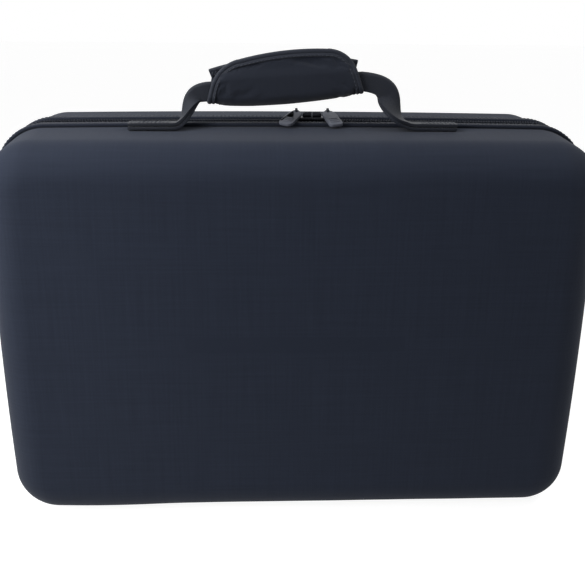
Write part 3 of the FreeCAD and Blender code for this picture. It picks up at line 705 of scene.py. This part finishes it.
def gripZ(x):
    return strap["gripHeight"] + (x - strap["wrap"][0]) * tan(radians(strap["tilt"]))


def sewnZ(x):
    return topZ(x) + strap["sewnGap"] + strap["slack"] + strap["thickness"]


# (x, z, heading, how far tipped forward, extra width) from a sewn end up to the wrap
def postStations(index, steps):
    foot, head = (strap["left"][1], strap["right"][0])[index], strap["wrap"][index]
    way = 1 if head > foot else -1
    tilt = radians(strap["tilt"])
    pull, sag, swell, rate = (strap[k][index] for k in ("pulls", "sag", "swell", "turn"))
    low = (foot + way * pull[0], sewnZ(foot) + strap["footRise"])
    top = (head - way * pull[1] * cos(tilt), gripZ(head) - way * pull[1] * sin(tilt) - sag)
    controls = np.array([(foot, sewnZ(foot)), low, top, (head, gripZ(head))])
    found = []
    for t in np.linspace(0, 1, steps + 1):
        shares = np.array([(1 - t) ** 3, 3 * t * (1 - t) ** 2, 3 * t * t * (1 - t), t ** 3])
        rates = np.array([(1 - t) ** 2, 2 * t * (1 - t), t * t])
        x, z = shares @ controls
        dx, dz = rates @ np.diff(controls, axis=0)
        heading = atan2(way * dz, way * dx) * float(smooth(t / strap["riseRun"]))
        heading += (tilt - heading) * float(smooth((t - strap["leanStart"]) / strap["leanRun"]))
        tipped = pi / 2 * (1 - float(smooth((t - strap["turnStart"]) * rate)))
        found.append((x, z, heading, tipped, swell * sin(pi * t)))
    return found


# stations from the left sewn end to the right one
def strapStations():
    left = [(x, sewnZ(x), 0.0, pi / 2, 0.0) for x in np.linspace(*strap["left"], 12, endpoint=False)]
    grip = [(x, gripZ(x), radians(strap["tilt"]), 0.0, 0.0) for x in np.linspace(*strap["wrap"], 30)[1:-1]]
    right = [(x, sewnZ(x), 0.0, pi / 2, 0.0) for x in np.linspace(*strap["right"], 12)[1:]]
    return left + postStations(0, 26) + grip + postStations(1, 30)[::-1] + right


# middle line of the folded webbing's cross section: two legs and the fold between them
def foldedRow(x, z, heading, tipped, swell):
    radius = strap["slack"] + strap["thickness"] / 2
    run = strap["half"] - strap["slack"] + swell
    legs = [(radius, -d) for d in np.linspace(run, 0.4, 8)]
    fold = [(radius * cos(a), radius * sin(a)) for a in np.linspace(0, pi, 9)]
    row = legs + fold + [(-b, n) for b, n in legs[::-1]]
    out = []
    for b, n in row[::-1]:
        across, normal = b * cos(tipped) + n * sin(tipped), n * cos(tipped) - b * sin(tipped)
        out.append((x - sin(heading) * normal, strap["y"] + across, z + cos(heading) * normal))
    return out


def makeStrap():
    grid = np.array([foldedRow(*s) for s in strapStations()])
    middle = grid[:, grid.shape[1] // 2]
    run = np.concatenate([[0], np.cumsum(np.linalg.norm(np.diff(middle, axis=0), axis=1))])
    gaps = np.linalg.norm(np.diff(grid, axis=1), axis=2)
    across = np.concatenate([np.zeros((len(grid), 1)), np.cumsum(gaps, axis=1)], 1)
    uv = np.stack([np.broadcast_to(run[:, None], across.shape), across], 2)
    piece = addPiece("handleStrap", gridMesh("handleStrap", grid, uv), "handleWebbing")
    addWall(piece, strap["thickness"], True)
    breakEdges(piece, strap["edge"], 50)
    settle(piece)
    outward(piece.data, 45)
    keep(piece, "lid", "handleWebbing", "handle_webbing")


# a sewn box with a cross through it on each flat end
def boxStitchLines():
    lift = strap["slack"] + strap["thickness"] + strap["threadLift"]
    outerGap, innerGap = strap["boxEnds"]
    near, far = -strap["boxSides"][0], -strap["half"] + strap["boxSides"][1]
    lines = []
    for ends, before, after in ((strap["left"], outerGap, innerGap), (strap["right"], innerGap, outerGap)):
        x0, x1 = ends[0] + before, ends[1] - after
        corners = [(x0, near), (x1, near), (x1, far), (x0, far), (x0, near), (x1, far)]
        for a, b in list(zip(corners, corners[1:])) + [((x1, near), (x0, far))]:
            places = [(a[0] + (b[0] - a[0]) * t, a[1] + (b[1] - a[1]) * t) for t in np.linspace(0, 1, 14)]
            points = [(x, strap["y"] + w, sewnZ(x) + lift) for x, w in places]
            lines.append((points, [(0, 0, 1.0)] * len(points), False))
    return lines


makeStrap()
boxes = setAlong("anchorStitches", boxStitchLines(), stitchShape, "thread", strap["stitchPitch"], 31)
keep(boxes, "lid", "thread")
print("handle webbing made")

# padded wrap: a U of padded cloth round the webbing, its two flaps closed over it
# low, front and back are heights over the grip's middle line at its left end, middle and right end
wrap = {"padding": 3.6, "play": 0.15, "slit": 1.1, "webbing": 2.2,
        "low": (-14.0, -17.8, -13.8), "front": (12.4, 20.5, 17.6), "back": (10.5, 17.0, 10.2),
        "corner": 16.0, "frontTaper": 8.0, "backTaper": 2.8, "waist": 4.5, "earDrop": 6.0,
        "closeStart": 2.0, "closeRun": 9.0, "flare": 0.12, "columns": 84, "rows": 64, "crowding": 0.97,
        "edge": 1.7, "seam": 4.8, "shoulder": 5.0, "skin": 0.25, "cap": 0.8, "simSteps": 20,
        "tapeWidth": 5.2, "tapeProud": 0.45, "threadInset": 0.9, "threadLift": 0.36, "stitchPitch": 3.0}
padCloth = {"quality": 6, "mass": 0.15, "tension_stiffness": 15, "compression_stiffness": 12,
            "bending_stiffness": 0.4, "shrink_min": -0.03,
            "use_pressure": True, "uniform_pressure_force": 5.0}
wrapEnd = (strap["wrap"][1] - strap["wrap"][0]) / cos(radians(strap["tilt"])) / 2
wrapSide = strap["slack"] + wrap["webbing"] + wrap["play"] + wrap["padding"]
foldRadius = wrapSide - wrap["padding"] / 2
channelLow = -(strap["half"] - strap["slack"]) - wrap["play"]


# a parabola through three heights, at -1, 0 and 1
def bowed(t, ends):
    return ends[1] + (ends[2] - ends[0]) / 2 * t + ((ends[2] + ends[0]) / 2 - ends[1]) * t * t


# half length of a flap at a height, on its left or right
def flapWidth(z, front, right):
    crest = wrap["front" if front else "back"][2 if right else 0]
    if front:
        return np.interp(z, (channelLow, crest), (wrapEnd, wrapEnd - wrap["frontTaper"]))
    heights = (channelLow, crest - wrap["earDrop"], crest)
    return np.interp(z, heights, (wrapEnd, wrapEnd - wrap["waist"], wrapEnd - wrap["backTaper"]))


# a corner of the front flap, rounded from its side to its crest
def roundedCorner(corner, crest, right):
    corner = np.array(corner)
    side = (flapWidth(channelLow, True, right) * (1 if right else -1), channelLow)
    ways = [np.array(end) - corner for end in (side, crest)]
    a, c = [corner + way / np.linalg.norm(way) * wrap["corner"] for way in ways]
    return [tuple(a * (1 - t) ** 2 + corner * 2 * t * (1 - t) + c * t * t) for t in np.linspace(0, 1, 15)]


# a flap's edge from left to right: shares of its half length, and heights
def flapTop(front):
    heights = wrap["front" if front else "back"]
    reach = wrapEnd - wrap["frontTaper" if front else "backTaper"]
    line = [(u, bowed(u / reach, heights)) for u in np.linspace(-reach, reach, 121)]
    if front:
        left, right = roundedCorner(line[0], line[12], False), roundedCorner(line[-1], line[-13], True)
        line = left + [p for p in line if left[-1][0] < p[0] < right[-1][0]] + right[::-1]
    shares = [u / flapWidth(z, front, u > 0) for u, z in line]
    return np.array(shares), np.array([z for u, z in line])


flapTops = {front: flapTop(front) for front in (False, True)}


# middle of the padded cloth and its outward direction
# share is the place along the half length; v runs from the fold, over 0 up the front flap
def wrapSurface(share, v):
    side, front = (-1, True) if v > 0 else (1, False)
    quarter = foldRadius * pi / 2
    foldZ = bowed(share, wrap["low"]) + wrapSide
    if abs(v) < quarter:
        a = abs(v) / foldRadius
        y, z = foldRadius * sin(a), foldZ - foldRadius * cos(a)
        normal = (0.0, side * sin(a), -cos(a))
    else:
        z = foldZ + abs(v) - quarter
        top = wrap["slit"] + wrap["padding"] / 2
        closed = float(smooth((z - wrap["closeStart"]) / wrap["closeRun"]))
        y = foldRadius + (top - foldRadius) * closed
        normal = (0.0, float(side), wrap["flare"])
    u = share * float(flapWidth(z, front, share > 0))
    return np.array((u, side * y, z)), np.array(normal) / np.linalg.norm(normal)


# from the grip's own directions to the bag's
def toGrip(points):
    tilt, middle = radians(strap["tilt"]), sum(strap["wrap"]) / 2
    x, y, z = points[..., 0], points[..., 1], points[..., 2]
    height = gripZ(middle) + x * sin(tilt) + z * cos(tilt)
    return np.stack([middle + x * cos(tilt) - z * sin(tilt), strap["y"] + y, height], -1)


def wrapGrid():
    crowding = wrap["crowding"]
    shares = np.sin(np.linspace(-1, 1, wrap["columns"]) * pi / 2 * crowding) / sin(pi / 2 * crowding)
    middle, normal = [], []
    for share in shares:
        rise = foldRadius * pi / 2 - bowed(share, wrap["low"]) - wrapSide
        tops = [rise + float(np.interp(share, *flapTops[front])) for front in (False, True)]
        pairs = [wrapSurface(share, v) for v in np.linspace(-tops[0], tops[1], wrap["rows"])]
        middle.append([p for p, n in pairs])
        normal.append([n for p, n in pairs])
    return np.array(middle), np.array(normal)


# how far each point lies from the wrap's edge
def wrapEdgeDistance(middle):
    x = middle[:, :, 0]
    nearEnd = np.minimum(np.abs(x - x[:1]), np.abs(x[-1:] - x))
    gaps = np.linalg.norm(np.diff(middle, axis=1), axis=2)
    spans = np.concatenate([np.zeros((len(middle), 1)), np.cumsum(gaps, axis=1)], 1)
    return np.minimum(nearEnd, np.minimum(spans, spans[:, -1:] - spans))


# faces of the pad's outside and inside, and the points round its edge
def wrapFaces(columns, rows):
    n = columns * rows
    faces = []
    for a in range(columns - 1):
        for b in range(rows - 1):
            q = [a * rows + b, (a + 1) * rows + b, (a + 1) * rows + b + 1, a * rows + b + 1]
            faces += [q, [k + n for k in q[::-1]]]
    rim = [a * rows for a in range(columns)] + [(columns - 1) * rows + b for b in range(1, rows)]
    rim += [a * rows + rows - 1 for a in range(columns - 2, -1, -1)] + list(range(rows - 2, 0, -1))
    return faces + [[a, b, b + n, a + n] for a, b in zip(rim, rim[1:] + rim[:1])], rim


def makeWrap():
    middle, normal = wrapGrid()
    half, thin = wrap["padding"] / 2, wrap["edge"] / 2
    near = wrapEdgeDistance(middle)
    rise = np.clip((near - wrap["seam"]) / wrap["shoulder"], 0, 1)
    swell = np.sqrt(np.clip(1 - (1 - rise) ** 2, 0, 1))
    thick = thin + (half - thin) * swell
    outer = middle + normal * (thick - wrap["skin"])[:, :, None]
    inner = middle - normal * np.minimum(thick, half)[:, :, None]
    points = toGrip(np.concatenate([outer.reshape(-1, 3), inner.reshape(-1, 3)]))
    faces, rim = wrapFaces(*middle.shape[:2])
    mesh = bpy.data.meshes.new("gripWrap")
    mesh.from_pydata((points / 1000).tolist(), [], faces)
    outward(mesh, 70)
    piece = addPiece("gripWrap", mesh, "wrapCloth")
    edge = near.ravel() < wrap["seam"] + 0.4
    plump(piece, np.flatnonzero(edge).tolist() + list(range(len(edge), 2 * len(edge))))
    finer = piece.modifiers.new("finer", "SUBSURF")
    finer.levels = finer.render_levels = 1
    settle(piece)
    outward(piece.data, 70)
    keep(piece, "lid", "wrapCloth", "handle_wrap")
    return middle, normal, rim


# a cloth simulation swells the pad between its bound edges; its inside and its seam are pinned
def plump(piece, pinned):
    start = np.array([v.co for v in piece.data.vertices])
    group = piece.vertex_groups.new(name="sewn")
    group.add(pinned, 1.0, "REPLACE")
    cloth = piece.modifiers.new("cloth", "CLOTH")
    for name, value in padCloth.items():
        setattr(cloth.settings, name, value)
    cloth.settings.vertex_group_mass = "sewn"
    cloth.settings.effector_weights.gravity = 0
    cloth.collision_settings.use_self_collision = False
    for step in range(1, wrap["simSteps"] + 1):
        scene.frame_set(step)
    graph = bpy.context.evaluated_depsgraph_get()
    swollen = np.array([v.co for v in piece.evaluated_get(graph).data.vertices])
    piece.modifiers.clear()
    move = swollen - start
    size = np.linalg.norm(move, axis=1, keepdims=True)
    cap = wrap["cap"] / 1000
    move *= np.minimum(1, cap / np.maximum(size, 1e-9))
    piece.data.vertices.foreach_set("co", (start + move).astype(np.float32).ravel())
    scene.frame_set(1)
    print("wrap swelled by up to", round(float(size.max()) * 1000, 2), "mm")


# the folded tape bound round the wrap's whole edge, and the seam along both its sides
def makeWrapTape(middle, normal, rim):
    flat, normals = middle.reshape(-1, 3), normal.reshape(-1, 3)
    columns, rows = middle.shape[:2]
    path, outs = flat[rim], normals[rim]
    ahead = np.roll(path, -1, axis=0) - np.roll(path, 1, axis=0)
    ahead /= np.linalg.norm(ahead, axis=1, keepdims=True)
    sideways = np.cross(ahead, outs)
    sideways /= np.linalg.norm(sideways, axis=1, keepdims=True)
    for k, place in enumerate(rim):
        a, b = place // rows, place % rows
        towards = flat[min(max(a, 3), columns - 4) * rows + min(max(b, 3), rows - 4)] - path[k]
        if np.dot(sideways[k], towards) < 0:
            sideways[k] *= -1
    w, t = wrap["tapeWidth"], wrap["edge"] / 2 + wrap["tapeProud"]
    face = [(-0.4, t * 0.6), (0.2, t + 0.1), (1.2, t + 0.4), (2.1, t + 0.25), (2.5, t - 0.1), (2.9, t + 0.15),
            (3.7, t + 0.45), (w - 0.5, t + 0.35), (w, t - 0.1)]
    section = [(-0.55, 0.0)] + face + [(w, 0.0)] + [(a, -b) for a, b in face[::-1]]
    grid = np.stack([path + sideways * a + outs * b for a, b in section], 1)
    run = np.concatenate([[0], np.cumsum(np.linalg.norm(np.roll(path, -1, axis=0) - path, axis=1))])
    across = np.linspace(0, 2 * w, len(section) + 1)
    uv = np.stack(np.meshgrid(run, across, indexing="ij"), 2)
    tape = addPiece("gripEdgeTape", gridMesh("gripEdgeTape", toGrip(grid), uv, True, True), "bindingTape")
    keep(tape, "lid", "bindingTape", "wrap_edge_tape")
    lines = []
    for way in (1, -1):
        line = path + sideways * (w - wrap["threadInset"]) + outs * way * (t + wrap["threadLift"])
        turned = toGrip(path + outs * way) - toGrip(path)
        lines.append((toGrip(line), turned, True))
    keep(setAlong("gripStitches", lines, stitchShape, "thread", wrap["stitchPitch"], 41), "lid", "thread")


makeWrapTape(*makeWrap())
print("grip made")


# a copy of a CAD piece's mesh with doubled points joined, and flat faces joined below an angle
def joinedMesh(node, distance, angle=None):
    mesh = nodes[node].data.copy()
    mesh.materials.clear()
    work = bmesh.new()
    work.from_mesh(mesh)
    bmesh.ops.remove_doubles(work, verts=work.verts, dist=distance)
    if angle is not None:
        bmesh.ops.dissolve_limit(work, angle_limit=radians(angle), verts=work.verts, edges=work.edges)
    work.to_mesh(mesh)
    work.free()
    return mesh


# CAD pieces that keep their shape get a finer copy with broken edges
def fineCopy(name, node, finish, body, bevel):
    mesh = joinedMesh(node, 0.000005, 4)
    old = ("sharp_edge", "sharp_face", "custom_normal")
    for attribute in [a.name for a in mesh.attributes if a.name in old]:
        mesh.attributes.remove(mesh.attributes[attribute])
    piece = addPiece(name, mesh, finish)
    breakEdges(piece, bevel, 32)
    settle(piece)
    outward(piece.data, 40)
    keep(piece, body, finish, node)


# CAD pieces that stay as they are get a finish
def dress(node, finish):
    nodes[node].data.materials.clear()
    nodes[node].data.materials.append(materials[finish])


for side in ("left", "right"):
    fineCopy("zipSlider" + side.title(), "slider_" + side, "sliderMetal", "slider_" + side, 0.3)
    fineCopy("pullTab" + side.title(), "pull_tab_" + side, "pullRubber", "pull_" + side, 0.35)
    dress("zipper_end_" + side, "zipperTape")
    dress("anchor_backing_" + side, "backingPlastic")
    dress("hold_strap_" + side, "trimWebbing")
    dress("hold_patch_" + side, "hookLoop")
dress("wrap_hook_patch", "hookLoop")
dress("wrap_loop_patch", "hookLoop")

# each pull's wire link, and the raised nose on each slider between the two bails
pulls = {"bars": {"left": 2.5, "right": 26.5}, "barZ": 307.16, "slope": 16.0,
         "radius": 1.85, "ahead": 1.85, "wire": 0.5, "width": 1.0, "turns": 40, "sides": 10,
         "nose": 14.5, "noseGap": 0.3, "noseLength": 6.9, "noseZ": 304.3, "noseHalf": (1.5, 2.3)}


# a flat wire link with round ends, from the slider's bail to the tab's eye
def makeLink(side):
    lean = radians(pulls["slope"])
    grid = []
    for a in np.linspace(0, 2 * pi, pulls["turns"], endpoint=False):
        ahead = max(0.0, min(1.0, 0.5 + cos(a) * 2)) * pulls["ahead"]
        ring = []
        for b in np.linspace(0, 2 * pi, pulls["sides"], endpoint=False):
            radius = pulls["radius"] + pulls["wire"] * cos(b)
            x, y, z = pulls["bars"][side] + pulls["width"] * sin(b), -ahead - radius * cos(a), radius * sin(a)
            ring.append((x, y * cos(lean) - z * sin(lean), pulls["barZ"] + y * sin(lean) + z * cos(lean)))
        grid.append(ring)
    uv = np.zeros((pulls["turns"] + 1, pulls["sides"] + 1, 2))
    name = "pullLink" + side.title()
    piece = addPiece(name, gridMesh(name, np.array(grid), uv, True, True), "sliderMetal")
    keep(piece, "pull_" + side, "sliderMetal", "pull_ring_" + side)


def makeNose(side, way):
    start, end = (pulls["nose"] + way * (pulls["noseGap"] + d) for d in (0, pulls["noseLength"]))
    z, (w, h) = pulls["noseZ"], pulls["noseHalf"]
    stations = [(start, z, w * 0.9, h * 0.94), (start + way * 0.3, z, w, h), (end - way * 1.2, z, w, h),
                (end - way * 0.3, z - 0.2, w * 0.85, h * 0.8), (end, z - 0.4, w * 0.5, h * 0.5)]
    mesh = barMesh("nose" + side.title(), stations, 12)
    keep(addPiece("zipNose" + side.title(), mesh, "sliderMetal"), "slider_" + side, "sliderMetal")


for side, way in (("left", -1), ("right", 1)):
    makeLink(side)
    makeNose(side, way)
print("sliders and pulls made")

# foam pads inside
foamLook = {"voxel": 0.0028, "rounds": 3}
for name, node, body in (("baseFoam", "foam_cradle", "base"), ("lidFoam", "lid_pad", "lid")):
    pad = addPiece(name, joinedMesh(node, 0.00001), "foam")
    grow = pad.modifiers.new("even", "REMESH")
    grow.mode, grow.voxel_size = "VOXEL", foamLook["voxel"]
    ease = pad.modifiers.new("ease", "SMOOTH")
    ease.factor, ease.iterations = 0.5, foamLook["rounds"]
    settle(pad)
    outward(pad.data, 180)
    keep(pad, body, "foam", node)
print("foam made")

# net pocket in the lid
pocket = {"y": -55.6, "inset": 6.9, "high": 193.0, "thickness": 0.7, "bulge": 1.2, "wave": 0.5,
          "hem": [(-1.0, -0.2), (-1.2, 1.0), (-1.2, 8.0), (-0.8, 8.9), (0.8, 8.9), (1.2, 8.0), (1.2, 1.0),
                  (1.0, -0.2)],
          "hemRound": 22, "hemSteps": 420, "gather": 0.35, "gathers": 70}


def halfWidth(z, inset):
    points = rimPoints - rimNormals * inset
    right = points[points[:, 0] > 5]
    right = right[np.argsort(right[:, 1])]
    return np.interp(z, right[:, 1], right[:, 0])


def makeHem(top):
    steps = np.linspace(0, 1, pocket["hemSteps"])
    line = np.array([np.interp(steps, np.linspace(0, 1, len(top)), top[:, k]) for k in range(3)]).T
    gather = pocket["gather"] * np.sin(steps * 2 * pi * pocket["gathers"])
    grid = np.array([[(x, y + a + g, z + b) for a, b in pocket["hem"]] for (x, y, z), g in zip(line, gather)])
    across = np.linspace(0, pocket["hemRound"], len(pocket["hem"]) + 1)
    uv = np.stack(np.meshgrid(line[:, 0] - line[0, 0], across, indexing="ij"), 2)
    band = addPiece("netHem", gridMesh("netHem", grid, uv, False, True, True), "bindingTape")
    keep(band, "lid", "bindingTape", "pocket_hem")
    return band


def makeNet():
    low = bag["low"] + pocket["inset"]
    zs = low + (pocket["high"] - low) * (1 - np.cos(np.linspace(0, pi / 2, 40)))
    zs = np.unique(np.concatenate([zs, np.linspace(low, pocket["high"], 40)]))
    widths = [bag["width"] / 2 - bag["corner"]] + [halfWidth(z, pocket["inset"]) for z in zs[1:]]
    u, z = np.linspace(-1, 1, 90)[None, :], zs[:, None]
    x = u * np.array(widths)[:, None]
    bulge = pocket["bulge"] * (1 - u * u) * smooth((z - low) / 60)
    wave = pocket["wave"] * ripple(x, 9, 12.0) * smooth((z - 120) / 70)
    grid = np.stack([x, pocket["y"] + bulge + wave, np.broadcast_to(z, x.shape)], 2)
    piece = addPiece("netPanel", gridMesh("netPanel", grid, grid[:, :, (0, 2)]), "net")
    addWall(piece, pocket["thickness"])
    settle(piece)
    keep(piece, "lid", "net", "pocket_net")
    band = makeHem(grid[-1])


makeNet()
print("net pocket made")

# the cloth hinge on the underside bends between the two halves
hinge = {"half": 150.0, "reach": 19.5, "high": 2.95, "low": 2.25}


def makeHinge():
    reach, middle = hinge["reach"], (hinge["high"] + hinge["low"]) / 2
    ys = np.concatenate([np.linspace(-reach, -4, 12), np.linspace(-3.4, 3.4, 15), np.linspace(4, reach, 12)])
    xs = np.linspace(-hinge["half"], hinge["half"], 90)
    grid = np.array([[(x, y, middle) for y in ys] for x in xs])
    piece = addPiece("hingeCloth", gridMesh("hingeCloth", grid, grid[:, :, :2]), "zipperTape")
    addWall(piece, hinge["high"] - hinge["low"])
    settle(piece)
    outward(piece.data)
    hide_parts("hinge_strip")
    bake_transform(piece, "base", "lid", start=(0, 0.003, middle / 1000), end=(0, -0.003, middle / 1000))


makeHinge()
print("hinge made")

# floor, light and camera; the camera stands where the photo's did, in millimetres, degrees and pixels
stage = {"camera": (-28.36, -656.23, 396.11), "pitch": 19.154, "yaw": 2.558, "roll": 0.605,
         "focal": 847.58, "width": 585,
         "fill": 0.15, "floorTone": 0.65, "floorGlow": 1.8, "glowShare": 0.5, "floorHalf": 6}
lamps = {"overLeft": {"place": (-0.44, -0.16, 0.72), "aim": (-0.22, -0.06, 0.29), "size": 0.35, "power": 5.0},
         "overRight": {"place": (0.50, -0.16, 0.76), "aim": (0.24, -0.06, 0.29), "size": 0.35, "power": 2.7},
         "frontLeft": {"place": (-0.68, -0.48, 0.42), "aim": (-0.17, -0.05, 0.2), "size": 0.4, "power": 6.5},
         "frontRight": {"place": (1.5, -1.2, 0.5), "aim": (0.1, 0, 0.15), "size": 0.8, "power": 1.5}}


def makeCamera():
    pitch, yaw, roll = (radians(stage[k]) for k in ("pitch", "yaw", "roll"))
    ahead = Vector((sin(yaw) * cos(pitch), cos(yaw) * cos(pitch), -sin(pitch)))
    right = Vector((cos(yaw), -sin(yaw), 0))
    up = right.cross(ahead)
    right, up = right * cos(roll) + up * sin(roll), up * cos(roll) - right * sin(roll)
    data = bpy.data.cameras.new("camera")
    data.lens, data.sensor_width = stage["focal"] / stage["width"] * 36, 36
    data.clip_start, data.clip_end = 0.01, 50
    camera = bpy.data.objects.new("camera", data)
    camera.matrix_world = Matrix((right, up, -ahead)).transposed().to_4x4()
    camera.location = Vector(stage["camera"]) / 1000
    scene.collection.objects.link(camera)
    scene.camera = camera


def addLamp(name, place, aim, size, power):
    data = bpy.data.lights.new(name, "AREA")
    data.shape, data.size, data.size_y, data.energy = "RECTANGLE", size, size, power
    lamp = bpy.data.objects.new(name, data)
    lamp.location = place
    lamp.rotation_euler = (Vector(aim) - Vector(place)).to_track_quat("-Z", "Y").to_euler()
    scene.collection.objects.link(lamp)


# 1 for the rays that show the surroundings themselves, 0 for those that light the bag
def seenRays(tree):
    path = put(tree, "ShaderNodeLightPath").outputs
    direct = calc(tree, "MAXIMUM", path["Is Camera Ray"], path["Is Glossy Ray"])
    return calc(tree, "MAXIMUM", direct, path["Is Transmission Ray"])


def makeWorld():
    world = bpy.data.worlds.new("studio")
    world.use_nodes = True
    scene.world = world
    tree = world.node_tree
    tree.nodes.clear()
    strength = put(tree, "ShaderNodeMapRange", {0: seenRays(tree), 3: stage["fill"], 4: 1.0}).outputs[0]
    light = put(tree, "ShaderNodeBackground", {"Color": (1, 1, 1, 1), "Strength": strength})
    tree.links.new(light.outputs[0], put(tree, "ShaderNodeOutputWorld").inputs[0])


def makeFloor():
    half, tone = stage["floorHalf"], stage["floorTone"]
    mesh = bpy.data.meshes.new("floor")
    corners = [(-half, -half, 0), (half, -half, 0), (half, half, 0), (-half, half, 0)]
    mesh.from_pydata(corners, [], [(0, 1, 2, 3)])
    material = bpy.data.materials.new("paleFloor")
    material.use_nodes = True
    tree = material.node_tree
    shader = tree.nodes["Principled BSDF"]
    shader.inputs["Base Color"].default_value = (tone, tone, tone, 1)
    shader.inputs["Roughness"].default_value = 0.9
    glow = put(tree, "ShaderNodeEmission", {"Color": (1, 1, 1, 1), "Strength": stage["floorGlow"]})
    mixed = put(tree, "ShaderNodeMixShader", {0: calc(tree, "MULTIPLY", seenRays(tree), stage["glowShare"])})
    tree.links.new(shader.outputs[0], mixed.inputs[1])
    tree.links.new(glow.outputs[0], mixed.inputs[2])
    tree.links.new(mixed.outputs[0], tree.nodes["Material Output"].inputs[0])
    mesh.materials.append(material)
    floor = bpy.data.objects.new("floor", mesh)
    scene.collection.objects.link(floor)


makeCamera()
makeWorld()
makeFloor()
for name, lamp in lamps.items():
    addLamp(name, **lamp)
scene.view_settings.view_transform = "Standard"
print("stage set")
